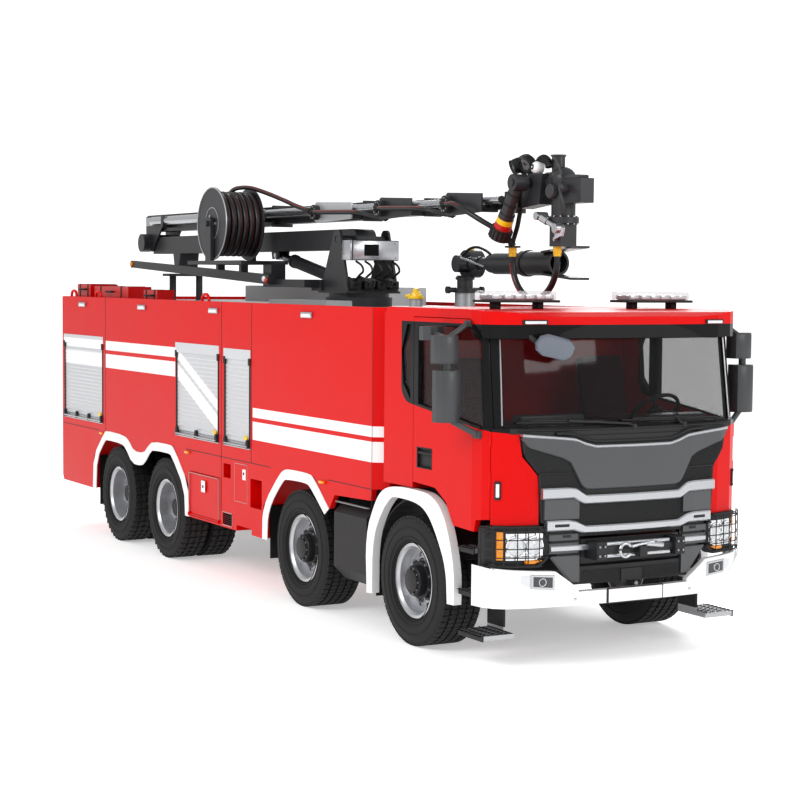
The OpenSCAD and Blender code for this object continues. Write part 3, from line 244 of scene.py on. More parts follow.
# %% Two paints and a mask
class Chain:
    def __init__(self, mat):
        self.tree = mat.node_tree
        place = self.tree.nodes.new("ShaderNodeTexCoord")
        split = self.tree.nodes.new("ShaderNodeSeparateXYZ")
        self.tree.links.new(place.outputs["Object"], split.inputs["Vector"])
        self.x, self.y, self.z = split.outputs["X"], split.outputs["Y"], split.outputs["Z"]

    def maths(self, kind, a, b=0.0):
        node = self.tree.nodes.new("ShaderNodeMath")
        node.operation = kind
        for socket, value in zip(node.inputs, (a, b)):
            if isinstance(value, (int, float)):
                socket.default_value = value
            else:
                self.tree.links.new(value, socket)
        return node.outputs["Value"]

    def between(self, value, low, high):
        return self.maths("MULTIPLY", self.maths("GREATER_THAN", value, low),
                          self.maths("LESS_THAN", value, high))

    def all_of(self, *parts):
        out = parts[0]
        for part in parts[1:]:
            out = self.maths("MULTIPLY", out, part)
        return out

    def any_of(self, *parts):
        out = parts[0]
        for part in parts[1:]:
            out = self.maths("MAXIMUM", out, part)
        return out

    def paint(self, mask, colour, rough, metal=None):
        """Where the mask is 1 the base colour and the roughness change."""
        shader = self.tree.nodes["Principled BSDF"]
        for socket, value in (("Base Color", (*colour, 1.0)), ("Roughness", rough), ("Metallic", metal)):
            if value is None:
                continue
            target = shader.inputs[socket]
            mix = self.tree.nodes.new("ShaderNodeMix")
            mix.data_type = "RGBA" if socket == "Base Color" else "FLOAT"
            a, b = (next(s for s in mix.inputs if s.enabled and s.name == letter) for letter in "AB")
            out = next(s for s in mix.outputs if s.enabled)
            if target.is_linked:
                self.tree.links.new(target.links[0].from_socket, a)
            else:
                a.default_value = target.default_value
            b.default_value = value
            self.tree.links.new(mask, mix.inputs["Factor"])
            self.tree.links.new(out, target)


front_stripes, rear_stripes = ((1.65, 1.74), (1.437, 1.61)), ((2.14, 2.245), (1.94, 2.096))


def stripes(chain, low, high, height, pair):
    """A mask for a pair of stripes between two places along the truck."""
    return chain.all_of(chain.between(chain.x, low, high),
                        chain.any_of(*[chain.between(height, *span) for span in pair]))


cab_paint = red_gloss("cab_paint")
chain = Chain(cab_paint)
# Height over the belt line, which falls towards the front; the rear lower corner is round
over = chain.maths("ADD", chain.z, chain.maths("SUBTRACT", chain.maths("MULTIPLY", chain.x, 0.126), 2.414))
du = chain.maths("MAXIMUM", chain.maths("SUBTRACT", 3.505, chain.x), 0.0)
dv = chain.maths("MAXIMUM", chain.maths("SUBTRACT", 0.13, over), 0.0)
corner = chain.maths("ADD", chain.maths("MULTIPLY", du, du), chain.maths("MULTIPLY", dv, dv))
band = chain.all_of(chain.maths("LESS_THAN", corner, 0.0169), chain.maths("LESS_THAN", chain.z, 2.634))
chain.paint(band, (0.012, 0.012, 0.013), 0.12)

body_paint = red_gloss("body_paint")
chain = Chain(body_paint)
front_pair = stripes(chain, 0.565, 3.035, chain.z, front_stripes)
rear_pair = stripes(chain, -3.42, -1.355, chain.z, rear_stripes)
chain.paint(chain.any_of(front_pair, rear_pair), (0.84, 0.84, 0.84), 0.3)

slat_paint = finish("slat_paint", (0.62, 0.63, 0.65), 0.36, metal=0.3, drift=0.04)
chain = Chain(slat_paint)
# On the middle shutter the pair runs down from the rear stripes to the front ones
fall = chain.maths("ADD", chain.z, chain.maths("MULTIPLY", chain.maths("ADD", chain.x, 1.34), 0.46))
slope = stripes(chain, -1.34, -0.1, fall, rear_stripes)
rear_end = stripes(chain, -4.9, -3.42, chain.z, rear_stripes)
chain.paint(chain.any_of(slope, rear_end), (0.86, 0.87, 0.88), 0.34, 0.0)
repaint(cab_paint, "cab_shell", "door_r", "door_l")
repaint(body_paint, "body_walls", "body_skirts", "flap_r", "flap_l")
repaint(slat_paint, "shutters")
print("zoned finishes: 3")

# %% [markdown]
# ## A small workshop for meshes
# Most fine parts are joined from a few shapes: boxes with softened edges, round bars between two
# points, turned shapes and flat outlines. `Maker` collects them in one mesh, so that one piece can
# hold many of them, and then hands the piece to a body of the frame.


# %% The mesh maker
def circle(count, radius, phase=0.0):
    """Points evenly round a circle; phase shifts them by a share of the step."""
    turns = [2 * math.pi * (k + phase) / count for k in range(count)]
    return [(radius * math.cos(a), radius * math.sin(a)) for a in turns]


class Maker:
    def __init__(self):
        self.bm = bmesh.new()

    def box(self, low, high, soft=0.0):
        made = bmesh.ops.create_cube(self.bm, size=1.0)["verts"]
        size, middle = Vector(high) - Vector(low), (Vector(high) + Vector(low)) / 2
        for v in made:
            v.co = Vector((v.co.x * size.x, v.co.y * size.y, v.co.z * size.z)) + middle
        if soft:
            edges = {e for v in made for e in v.link_edges}
            bmesh.ops.bevel(self.bm, geom=list(edges), offset=soft, segments=2, affect="EDGES", profile=0.5)

    def plate(self, outline, axis, low, high, soft=0.0):
        """A flat outline made thick along axis 0 (points are y, z), 1 (x, z) or 2 (x, y)."""
        def put(p, t):
            return ((t, p[0], p[1]), (p[0], t, p[1]), (p[0], p[1], t))[axis]
        first = [self.bm.verts.new(put(p, low)) for p in outline]
        second = [self.bm.verts.new(put(p, high)) for p in outline]
        faces = [self.bm.faces.new(first), self.bm.faces.new(second[::-1])]
        n = len(outline)
        faces += [self.bm.faces.new((first[i], second[i], second[(i + 1) % n], first[(i + 1) % n]))
                  for i in range(n)]
        if soft:
            edges = {e for f in faces[:2] for e in f.edges}
            bmesh.ops.bevel(self.bm, geom=list(edges), offset=soft, segments=2, affect="EDGES", profile=0.5)

    def bar(self, start, end, radius, sides=20):
        start, end = Vector(start), Vector(end)
        turn = (end - start).to_track_quat("Z", "Y").to_matrix().to_4x4()
        bmesh.ops.create_cone(self.bm, cap_ends=True, segments=sides, radius1=radius, radius2=radius,
                              depth=(end - start).length, matrix=Matrix.Translation((start + end) / 2) @ turn)

    def turned(self, profile, centre, axis, sides=64, closed=True):
        """A profile of (distance along the axis, radius) points, turned round the axis through the centre."""
        centre, along = Vector(centre), Vector(axis).normalized()
        across = along.orthogonal().normalized()
        third = along.cross(across)
        rings = []
        for k in range(sides):
            a = 2 * math.pi * k / sides
            out = math.cos(a) * across + math.sin(a) * third
            rings.append([self.bm.verts.new(centre + along * d + out * r) for d, r in profile])
        n = len(profile)
        for k in range(sides):
            one, two = rings[k], rings[(k + 1) % sides]
            for i in range(n if closed else n - 1):
                self.bm.faces.new((one[i], two[i], two[(i + 1) % n], one[(i + 1) % n]))

    def path(self, points, radius, sides=12):
        """A round bar that bends along points."""
        rings = []
        for i, p in enumerate(points):
            a, b = Vector(points[max(0, i - 1)]), Vector(points[min(len(points) - 1, i + 1)])
            turn = (b - a).to_track_quat("Z", "Y").to_matrix()
            rings.append([self.bm.verts.new(Vector(p) + turn @ Vector((u, v, 0)))
                          for u, v in circle(sides, radius)])
        for one, two in zip(rings, rings[1:]):
            for k in range(sides):
                self.bm.faces.new((one[k], one[(k + 1) % sides], two[(k + 1) % sides], two[k]))
        self.bm.faces.new(rings[0][::-1])
        self.bm.faces.new(rings[-1])

    def mirrored(self):
        """Adds the same shapes on the truck's other side."""
        both = bmesh.ops.duplicate(self.bm,
                                   geom=self.bm.verts[:] + self.bm.edges[:] + self.bm.faces[:])["geom"]
        for v in both:
            if isinstance(v, bmesh.types.BMVert):
                v.co.y = -v.co.y
        bmesh.ops.reverse_faces(self.bm, faces=[f for f in both if isinstance(f, bmesh.types.BMFace)])

    def take(self, mesh):
        """Adds a mesh, which is then thrown away."""
        self.bm.from_mesh(mesh)
        bpy.data.meshes.remove(mesh)

    def join(self, part):
        """Adds another bmesh."""
        loose = bpy.data.meshes.new("loose")
        part.to_mesh(loose)
        part.free()
        self.take(loose)

    def piece(self, name, mat, body, slot=None, smooth=True):
        """Closes the piece and hands it to its body; the slot argument is not used."""
        bmesh.ops.recalc_face_normals(self.bm, faces=self.bm.faces[:])
        mesh = bpy.data.meshes.new(name)
        self.bm.to_mesh(mesh)
        self.bm.free()
        obj = plain_object(name, mesh)
        mesh.materials.append(mat)
        if smooth:
            mesh.polygons.foreach_set("use_smooth", [True] * len(mesh.polygons))
            mesh.set_sharp_from_angle(angle=math.radians(32))
        if body:
            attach(obj, body)
        print(name, "faces:", len(mesh.polygons))
        return obj


def makers(count):
    return [Maker() for k in range(count)]


def strips(maker, y0, y1, spans, edge=0.0):
    """Flat strips between two depths; each span is two corners seen from the side."""
    for (x0, z0), (x1, z1) in spans:
        maker.box((x0, min(y0, y1), z0), (x1, max(y0, y1), z1), edge)


# %% [markdown]
# ## Tyres with tread
# A truck tyre is a turned body with ribs round it. The steered tyres have straight ribs with fine
# cross cuts; the twin tyres on the driven axles have blocks. The body is turned from a profile, and
# a node tree sets the tread blocks round it, so the count and the size are named inputs.


# %% A node tree that sets blocks round a wheel
def open_tree(name, inputs):
    """Starts a node tree with named inputs; a whole number makes an input of whole numbers."""
    tree = bpy.data.node_groups.new(name, "GeometryNodeTree")
    for label, value in inputs.items():
        kind = "NodeSocketInt" if isinstance(value, int) else "NodeSocketFloat"
        tree.interface.new_socket(label, in_out="INPUT", socket_type=kind).default_value = value
    tree.interface.new_socket("Material", in_out="INPUT", socket_type="NodeSocketMaterial")
    tree.interface.new_socket("Geometry", in_out="OUTPUT", socket_type="NodeSocketGeometry")
    return tree, tree.nodes.new("NodeGroupInput").outputs


def close_tree(tree, given, instances):
    """Makes instances real, gives them their material and hands them out."""
    real = add(tree, "GeometryNodeRealizeInstances", Geometry=instances)
    mat = add(tree, "GeometryNodeSetMaterial", Geometry=real.outputs["Geometry"], Material=given["Material"])
    add(tree, "NodeGroupOutput", Geometry=mat.outputs["Geometry"])
    return tree


def blocks_tree():
    tree, given = open_tree("tread_blocks", {"Count": 60, "Radius": 0.524, "Along": 0.04, "Wide": 0.05,
            "Deep": 0.014, "Slant": 0.0})
    ring = add(tree, "GeometryNodeMeshCircle", Vertices=given["Count"], Radius=given["Radius"])
    size = add(tree, "ShaderNodeCombineXYZ", X=given["Deep"], Y=given["Along"], Z=given["Wide"])
    cube = add(tree, "GeometryNodeMeshCube", Size=size.outputs["Vector"])
    spin = add(tree, "ShaderNodeCombineXYZ", X=given["Slant"])
    slanted = add(tree, "GeometryNodeTransform", Geometry=cube.outputs["Mesh"],
                  Rotation=spin.outputs["Vector"])
    place = add(tree, "GeometryNodeInputPosition")
    align = add(tree, "FunctionNodeAlignRotationToVector", Vector=place.outputs["Position"])
    align.axis, align.pivot_axis = "X", "Z"
    put = add(tree, "GeometryNodeInstanceOnPoints", Points=ring.outputs["Mesh"],
              Instance=slanted.outputs["Geometry"], Rotation=align.outputs["Rotation"])
    return close_tree(tree, given, put.outputs["Instances"])


def run_tree(tree, values):
    """Runs a node tree with named inputs and returns the result as a plain mesh."""
    mesh = bpy.data.meshes.new("seed")
    obj = plain_object("seed", mesh)
    modifier = obj.modifiers.new("nodes", "NODES")
    modifier.node_group = tree
    for item in tree.interface.items_tree:
        if item.in_out == "INPUT" and item.name in values:
            modifier[item.identifier] = values[item.name]
    graph = bpy.context.evaluated_depsgraph_get()
    made = bpy.data.meshes.new_from_object(obj.evaluated_get(graph))
    bpy.data.objects.remove(obj)
    return made


tread_tree = blocks_tree()
# Rows of one tyre: place across the tread as a share of the half width, width share, blocks, slant
steer_rows = [(-0.8, 0.3, 54, 0.0), (-0.4, 0.3, 72, 0.25), (0.0, 0.3, 72, -0.25), (0.4, 0.3, 72, 0.25),
              (0.8, 0.3, 54, 0.0)]
drive_rows = [(-0.74, 0.4, 42, 0.2), (-0.25, 0.36, 42, -0.3), (0.25, 0.36, 42, 0.3), (0.74, 0.4, 42, -0.2)]
tyre_radius = 0.53


def tyre_body(maker, x, y, width, radius=tyre_radius, seat=0.2903):
    b, half = width * 0.37, width / 2
    profile = [(-b, seat), (-b, seat + 0.02), (-half + 0.012, seat + 0.045), (-half + 0.002, seat + 0.085),
               (-half, seat + 0.118), (-half + 0.003, seat + 0.15), (-half + 0.01, radius - 0.055),
               (-half + 0.016, radius - 0.03), (-half + 0.03, radius - 0.014), (0, radius - 0.012)]
    profile += [(-d, r) for d, r in profile[-2::-1]]
    maker.turned(profile, (x, y, radius), (0, 1, 0), sides=72)
    # Rings and rim protector on both sidewalls
    for s in (-1, 1):
        for r, t in ((seat + 0.032, 0.004), (seat + 0.07, 0.0025), (seat + 0.145, 0.003)):
            edge = half - 0.008 if r < seat + 0.05 else half - 0.001
            maker.turned([(s * edge, r - t), (s * (edge + t), r - t / 2), (s * (edge + t), r + t / 2),
                          (s * edge, r + t)], (x, y, radius), (0, 1, 0), sides=72)


def tread(maker, x, y, width, rows, radius=tyre_radius):
    half = width / 2 - 0.014
    for share, wide, count, slant in rows:
        values = {"Count": count, "Radius": radius - 0.01, "Along": 2 * math.pi * radius / count * 0.86,
                  "Wide": wide * half, "Deep": 0.019, "Slant": slant, "Material": tyre_rubber}
        mesh = run_tree(tread_tree, values)
        mesh.transform(Matrix.Translation((x, y + share * half, radius))
                       @ Matrix.Rotation(math.pi / 2, 4, "X"))
        maker.take(mesh)


hands = (("r", -1), ("l", 1))
axle_x = (3.58, 1.574, -1.665, -3.079)
# Each wheel: its name's end, side, place along the truck, and whether it is a single, steered one
wheels = [(f"{axle + 1}{hand}", s, x, axle < 2) for axle, x in enumerate(axle_x) for hand, s in hands]
for key, s, x, steered in wheels:
    maker = Maker()
    for y, width, rows in ([(1.0475, 0.385, steer_rows)] if steered
                           else [(1.09, 0.3, drive_rows), (0.76, 0.3, drive_rows)]):
        tyre_body(maker, x, s * y, width)
        tread(maker, x, s * y, width, rows)
    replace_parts(maker.piece(f"treaded_tyre_{key}", tyre_rubber, f"wheel_{key}", "tyre"), f"tyre_{key}")

# %% [markdown]
# ## Hubs and wheel nuts
# The steered wheels carry a black hub that stands out of the rim, with a ring of nuts; on the twin
# wheels the hub lies deep in the dish.

# %% Hubs, nuts and bolts
hub_black = finish("hub_black", (0.02, 0.02, 0.022), 0.45, metal=0.2, drift=0.2, grain=0.06)
nut_steel = finish("nut_steel", (0.3, 0.31, 0.32), 0.35, metal=0.9, drift=0.1)
steer_hub = [(0.0, 0.15), (0.01, 0.158), (0.03, 0.158), (0.034, 0.128), (0.09, 0.124), (0.098, 0.118),
             (0.1, 0.1), (0.114, 0.096), (0.117, 0.088), (0.117, 0.0), (0.0, 0.0)]
drive_hub = [(-0.01, 0.12), (0.045, 0.12), (0.052, 0.11), (0.056, 0.092), (0.082, 0.09), (0.085, 0.08),
             (0.085, 0.0), (-0.01, 0.0)]
for key, s, x, steered in wheels:
    face, profile = (1.1175, steer_hub) if steered else (1.035, drive_hub)
    count, ring, stand = (10, 0.106, 0.1) if steered else (8, 0.101, 0.053)
    hub, nuts = makers(2)
    hub.turned(profile, (x, s * (face + 0.002), tyre_radius), (0, s, 0), 48)
    for u, v in circle(10, 0.1675, 0.5):
        centre = Vector((x + u, s * (face + 0.001), tyre_radius + v))
        nuts.bar(centre, centre + Vector((0, s * 0.026, 0)), 0.0165, 6)
        nuts.bar(centre + Vector((0, s * 0.026, 0)), centre + Vector((0, s * 0.042, 0)), 0.01, 10)
    for u, v in circle(count, ring):
        centre = Vector((x + u, s * (face + stand), tyre_radius + v))
        nuts.bar(centre, centre + Vector((0, s * 0.012, 0)), 0.008, 6)
    hub.piece(f"hub_cap_{key}", hub_black, f"wheel_{key}", "frame_paint")
    nuts.piece(f"wheel_nuts_{key}", nut_steel, f"wheel_{key}", "rod_steel")

# %% [markdown]
# ## The face of the cab
# The front curves in plan, so everything on it is made as columns: for each place across the truck
# the column has a lower and an upper edge, and it stands a given distance out of the nose. Columns
# side by side make panels, bars and rims that all follow the same curve.


# %% Columns along the nose
nose = [(0.0, 4.872), (0.27, 4.87), (0.6, 4.85), (0.9, 4.815), (1.07, 4.76), (1.158, 4.69), (1.204, 4.6),
        (1.22, 4.48)]


def along(table, value):
    """Reads a table of (place, value) pairs, with straight lines between them."""
    for (a, one), (b, two) in zip(table, table[1:]):
        if value <= b:
            return one + (two - one) * max(0.0, (value - a) / (b - a)) if b > a else two
    return table[-1][1]


def nose_x(y):
    return along(nose, abs(y))


def spaced(low, high, step=0.02):
    n = max(1, round((high - low) / step))
    return [low + (high - low) * i / n for i in range(n + 1)]


def spread(s, low, high, step=0.02):
    """The same places on the right (s = -1) or the left (s = 1)."""
    return [s * v for v in spaced(low, high, step)]


def columns(maker, places, low, high, back, front, soft=0.004):
    """Joins columns at the places (y values); low and high are tables over the distance from the middle."""
    rings = []
    for y in places:
        a, b, x = along(low, abs(y)), along(high, abs(y)), nose_x(y)
        b = max(b, a + 0.002)
        e = min(soft, (b - a) / 3)
        section = ((back, a), (front - e, a), (front, a + e), (front, b - e), (front - e, b), (back, b))
        rings.append([maker.bm.verts.new((x + d, y, z)) for d, z in section])
    for one, two in zip(rings, rings[1:]):
        for i in range(6):
            maker.bm.faces.new((one[i], two[i], two[(i + 1) % 6], one[(i + 1) % 6]))
    maker.bm.faces.new(rings[0])
    maker.bm.faces.new(rings[-1][::-1])


def flat(value):
    return [(0.0, value), (9.0, value)]


def shifted(table, by):
    return [(d, z + by) for d, z in table]


panel_low = [(0.0, 0.64), (0.56, 0.64), (0.74, 0.99), (0.745, 1.11), (0.82, 1.13), (0.825, 1.48),
             (0.955, 1.64), (0.98, 1.78), (9, 1.78)]
base = Maker()
columns(base, spaced(-0.98, 0.98), [(d, max(1.01, z)) for d, z in panel_low], flat(1.79), -0.03, 0.014)
columns(base, spaced(-0.48, 0.48), flat(0.64), flat(0.782), -0.03, 0.014)
for s in (-1, 1):
    columns(base, spread(s, 0.48, 0.74), panel_low, flat(1.012), -0.03, 0.014)
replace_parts(base.piece("panel_base", black_plastic, "chassis", "dark_panel"), "front_panel")

# %% Nose plate, its bright rim and the grey blocks
nose_grey = finish("nose_grey", (0.07, 0.073, 0.078), 0.3, coat=0.3, drift=0.06, grain_scale=900, grain=0.02)
bright_bar = finish("bright_bar", (0.5, 0.51, 0.53), 0.26, metal=0.85, drift=0.05, grain_scale=500,
                    grain=0.015)
plate_top = [(0.0, 1.7), (0.36, 1.702), (0.44, 1.722), (0.54, 1.758), (0.62, 1.768), (0.985, 1.8), (9, 1.8)]
plate_low = [(0.0, 1.372), (0.42, 1.374), (0.47, 1.392), (0.5, 1.44), (0.58, 1.585), (0.64, 1.618),
             (0.93, 1.705), (0.985, 1.772), (9, 1.78)]
grey = Maker()
columns(grey, spaced(-0.98, 0.98), plate_low, plate_top, 0.0, 0.036, 0.008)
for s in (-1, 1):
    columns(grey, spread(s, 0.5, 0.8), flat(1.148), flat(1.312), 0.0, 0.034, 0.006)
    columns(grey, spread(s, 0.505, 0.755), flat(0.985), flat(1.04), 0.0, 0.03, 0.006)
    columns(grey, spread(s, 0.5, 0.752), flat(0.885), flat(0.972), 0.0, 0.026, 0.006)
    columns(grey, spread(s, 0.49, 0.735), [(0.0, 0.66), (0.56, 0.66), (0.735, 0.86), (9, 0.86)], flat(0.872),
            0.0, 0.03, 0.006)
grey.piece("nose_plate", nose_grey, "chassis", "dark_panel")
rim = Maker()
columns(rim, spaced(-0.985, 0.985), shifted(plate_top, -0.01), shifted(plate_top, 0.012), 0.0, 0.044, 0.006)
bar_1_low = [(0, 1.262), (0.46, 1.264), (0.55, 1.312), (9, 1.316)]
bar_1_top = [(0, 1.33), (0.44, 1.332), (0.53, 1.388), (0.6, 1.396), (9, 1.398)]
bar_2_low = [(0, 1.036), (0.46, 1.038), (0.55, 1.066), (9, 1.068)]
bar_2_top = [(0, 1.094), (0.44, 1.096), (0.53, 1.136), (0.6, 1.148), (9, 1.15)]
columns(rim, spaced(-0.825, 0.825), bar_1_low, bar_1_top, 0.0, 0.052, 0.01)
columns(rim, spaced(-0.785, 0.785), bar_2_low, bar_2_top, 0.0, 0.052, 0.01)
columns(rim, spaced(-0.745, 0.745), flat(0.905), flat(0.95), 0.0, 0.04, 0.008)
rim.piece("bright_bars", bright_bar, "chassis", "rod_steel")
slots = Maker()
for s in (-1, 1):
    columns(slots, spread(s, 0.6, 0.72), flat(1.096), flat(1.118), 0.046, 0.0545, 0.002)
    columns(slots, spread(s, 0.57, 0.64), flat(1.01), flat(1.03), 0.024, 0.0325, 0.002)
    columns(slots, spread(s, 0.52, 0.84), flat(1.5), flat(1.512), 0.01, 0.026, 0.003)
columns(slots, spaced(-0.1, 0.1), flat(0.645), flat(0.742), 0.01, 0.022, 0.004)
slots.piece("panel_slots", black_plastic, "chassis")

# %% [markdown]
# ## Honeycomb meshes
# The dark fields of the face are honeycomb. A node tree sets open six-sided cells on a grid; the
# cells are then bent round the nose and only those inside a field are kept.


# %% Honeycomb cells from a node tree
def comb_tree():
    tree, given = open_tree("honeycomb", {"Wide": 1.0, "High": 0.2, "Columns": 40, "Rows": 8, "Cell": 0.014,
            "Bar": 0.0022})
    grid = add(tree, "GeometryNodeMeshGrid", Size_X=given["Wide"], Size_Y=given["High"],
               Vertices_X=given["Columns"], Vertices_Y=given["Rows"])
    cell = add(tree, "GeometryNodeCurvePrimitiveCircle", Resolution=6, Radius=given["Cell"])
    bar = add(tree, "GeometryNodeCurvePrimitiveCircle", Resolution=4, Radius=given["Bar"])
    tube = add(tree, "GeometryNodeCurveToMesh", Curve=cell.outputs["Curve"],
               Profile_Curve=bar.outputs["Curve"])
    put = add(tree, "GeometryNodeInstanceOnPoints", Points=grid.outputs["Mesh"],
              Instance=tube.outputs["Mesh"])
    return close_tree(tree, given, put.outputs["Instances"])


mesh_black = finish("mesh_black", (0.03, 0.031, 0.033), 0.4, drift=0.1)
comb = comb_tree()


def honeycomb(maker, y0, y1, z0, z1, keep, out):
    """Two grids, one shifted by half a cell, bent round the nose."""
    step_y, step_z = 0.03, 0.0176
    for shift in (0, 1):
        cols, rows = int((y1 - y0) / step_y), int((z1 - z0) / step_z)
        mesh = run_tree(comb, {"Wide": (cols - 1) * step_y, "High": (rows - 1) * step_z, "Columns": cols,
                               "Rows": rows, "Cell": 0.0098, "Bar": 0.0017, "Material": mesh_black})
        part = bmesh.new()
        part.from_mesh(mesh)
        bpy.data.meshes.remove(mesh)
        middle_y, middle_z = (y0 + y1) / 2 + shift * step_y / 2, (z0 + z1) / 2 + shift * step_z / 2
        for v in part.verts:
            y, z, d = v.co.x + middle_y, v.co.y + middle_z, v.co.z
            v.co = (nose_x(y) + out + d, y, z)
        bmesh.ops.delete(part, geom=[v for v in part.verts if not keep(v.co.y, v.co.z)], context="VERTS")
        maker.join(part)


meshes = Maker()
honeycomb(meshes, -0.52, 0.52, 1.085, 1.27, lambda y, z: abs(y) < 0.505
          and along(bar_2_top, abs(y)) < z < along(bar_1_low, abs(y)), 0.018)
for s in (-1, 1):
    honeycomb(meshes, min(s * 0.44, s * 0.97), max(s * 0.44, s * 0.97), 1.33, 1.74, lambda y,
              z: along(panel_low, abs(y)) + 0.01 < z < along(plate_low, abs(y))
              and z > along(bar_1_top, abs(y)) and abs(y) < 0.95, 0.018)
honeycomb(meshes, -0.47, 0.47, 0.645, 0.745, lambda y, z: 0.1 < abs(y) < 0.47, 0.018)
meshes.piece("face_meshes", mesh_black, "chassis", "black_plastic", smooth=False)

# %% [markdown]
# ## Lamps
# The solid lamps are simple blocks. Here each one gets a housing, a reflector, lenses and, on the
# headlamps, the wire guard of a vehicle that works off the road.

# %% Lamp finishes
reflector = finish("reflector", (0.72, 0.73, 0.75), 0.14, metal=0.9, drift=0.2, drift_scale=30)
amber_lens = finish("amber_lens", (0.85, 0.3, 0.01), 0.18, coat=0.5, drift=0.15, drift_scale=40)
red_lens = finish("red_lens", (0.45, 0.008, 0.008), 0.18, coat=0.5, drift=0.15, drift_scale=40)
white_lens = finish("white_lens", (0.8, 0.82, 0.84), 0.15, coat=0.5, drift=0.1, drift_scale=60)
dark_lens = finish("dark_lens", (0.03, 0.032, 0.036), 0.08, coat=0.6, drift=0.3, drift_scale=25)


def nose_frame(y):
    """Outward direction of the nose at y."""
    d = 0.004
    t = Vector((nose_x(y + d) - nose_x(y - d), 2 * d, 0)).normalized()
    return Vector((t.y, -t.x, 0))


# %% Headlamps
lamp_low = [(0.0, 0.85), (0.76, 0.85), (0.84, 0.786), (9, 0.786)]
lamp_top = [(0.0, 1.06), (0.76, 1.06), (0.83, 1.114), (1.15, 1.114), (1.195, 1.082), (9, 1.08)]
shells, mirrors_in, lenses, ambers, guards = makers(5)
for s in (-1, 1):
    columns(shells, spread(s, 0.76, 1.19, 0.015), lamp_low, lamp_top, -0.09, 0.01, 0.008)
    # Bezel edge round the opening
    columns(shells, spread(s, 0.765, 1.185, 0.015), shifted(lamp_low, 0.004), shifted(lamp_low, 0.034), 0.0,
            0.03, 0.006)
    columns(shells, spread(s, 0.765, 1.185, 0.015), shifted(lamp_top, -0.034), shifted(lamp_top, -0.004), 0.0,
            0.03, 0.006)
    columns(mirrors_in, spread(s, 0.8, 1.085, 0.015), [(0, 0.875), (0.8, 0.875), (0.86, 0.846), (9, 0.846)],
            flat(1.058), 0.0, 0.016, 0.004)
    for y, r in ((0.875, 0.062), (1.005, 0.066)):
        out = nose_frame(s * y)
        centre = Vector((nose_x(y), s * y, 0.955)) + out * 0.012
        mirrors_in.turned([(0.0, r + 0.022), (0.012, r + 0.018), (0.012, r + 0.008), (0.002, r)], centre, out,
                          32)
        lenses.turned([(0.004, 0.0), (0.018, r * 0.35), (0.014, r * 0.7), (0.003, r), (0.0, 0.0)], centre,
                      out, 32)
    columns(ambers, spread(s, 1.105, 1.14, 0.012), flat(0.85), flat(1.066), 0.0, 0.026, 0.004)
    columns(ambers, spread(s, 0.815, 0.945, 0.015), [(0, 0.842), (0.82, 0.842), (0.87, 0.822), (9, 0.822)],
            flat(0.848), 0.0, 0.03, 0.004)
    # Guard: level wires follow the nose, upright wires stand on them
    for z in (0.806, 0.872, 0.94, 1.008, 1.076, 1.108):
        guards.path([Vector((nose_x(v), s * v, z)) + nose_frame(s * v) * 0.052
                     for v in spaced(0.772 if 0.85 < z < 1.06 else 0.82, 1.192, 0.03)], 0.0042, 8)
    for v in (0.775, 0.845, 0.925, 1.005, 1.085, 1.15, 1.192):
        foot = Vector((nose_x(v), s * v, 0)) + nose_frame(s * v) * 0.052
        guards.bar(foot + Vector((0, 0, 0.8 if v > 0.8 else 0.856)),
                   foot + Vector((0, 0, 1.112 if v > 0.8 else 1.062)), 0.0042, 8)
    for v, z in ((0.785, 0.87), (0.785, 1.05), (1.18, 0.81), (1.18, 1.07)):
        root = Vector((nose_x(v), s * v, z))
        guards.bar(root, root + nose_frame(s * v) * 0.056, 0.006, 8)
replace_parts(shells.piece("headlamp_housings", black_plastic, "chassis", "black_plastic"), "lamps")
mirrors_in.piece("headlamp_reflectors", reflector, "chassis", "lamp_glass")
lenses.piece("headlamp_lenses", white_lens, "chassis", "lamp_glass")
ambers.piece("front_indicators", amber_lens, "chassis", "lamp_glass")
guards.piece("headlamp_guards", black_plastic, "chassis", "black_plastic")

# %% Fog lamps, bumper corners and the blank plate
corner_top = [(0.0, 0.6), (0.5, 0.605), (0.56, 0.65), (0.72, 0.762), (1.02, 0.78), (1.18, 0.792), (9, 0.8)]
corners, trims, fogs, coves = makers(4)
for s in (-1, 1):
    columns(corners, spread(s, 0.52, 1.17, 0.015), flat(0.575), corner_top, 0.02, 0.071, 0.006)
    columns(trims, spread(s, 0.735, 0.93, 0.013), [(0, 0.622), (0.735, 0.622), (0.93, 0.64), (9, 0.64)],
            [(0, 0.735), (0.735, 0.735), (0.93, 0.748), (9, 0.748)], 0.06, 0.078, 0.004)
    columns(fogs, spread(s, 0.752, 0.912, 0.013), [(0, 0.638), (0.75, 0.638), (0.92, 0.655), (9, 0.655)],
            [(0, 0.72), (0.75, 0.72), (0.92, 0.733), (9, 0.733)], 0.062, 0.08, 0.003)
    columns(coves, spread(s, 0.935, 1.005, 0.012), [(0, 0.64), (0.93, 0.642), (1.01, 0.68), (9, 0.68)],
            [(0, 0.748), (0.93, 0.748), (1.01, 0.742), (9, 0.742)], 0.06, 0.0735, 0.006)
    out = nose_frame(s * 0.83)
    centre = Vector((nose_x(0.83), s * 0.83, 0.686)) + out * 0.079
    trims.turned([(0.0, 0.034), (0.006, 0.032), (0.006, 0.026), (0.0, 0.024)], centre, out, 28)
    columns(trims, spread(s, 0.54, 0.56, 0.01), flat(0.53), flat(0.548), 0.066, 0.0745, 0.003)
corners.piece("bumper_corners", white_paint, "chassis", "white_paint")
trims.piece("fog_trims", bright_bar, "chassis", "rod_steel")
fogs.piece("fog_lenses", dark_lens, "chassis", "lamp_glass")
coves.piece("fog_coves", shutter_metal, "chassis", "lamp_glass")
frame_edge, face = makers(2)
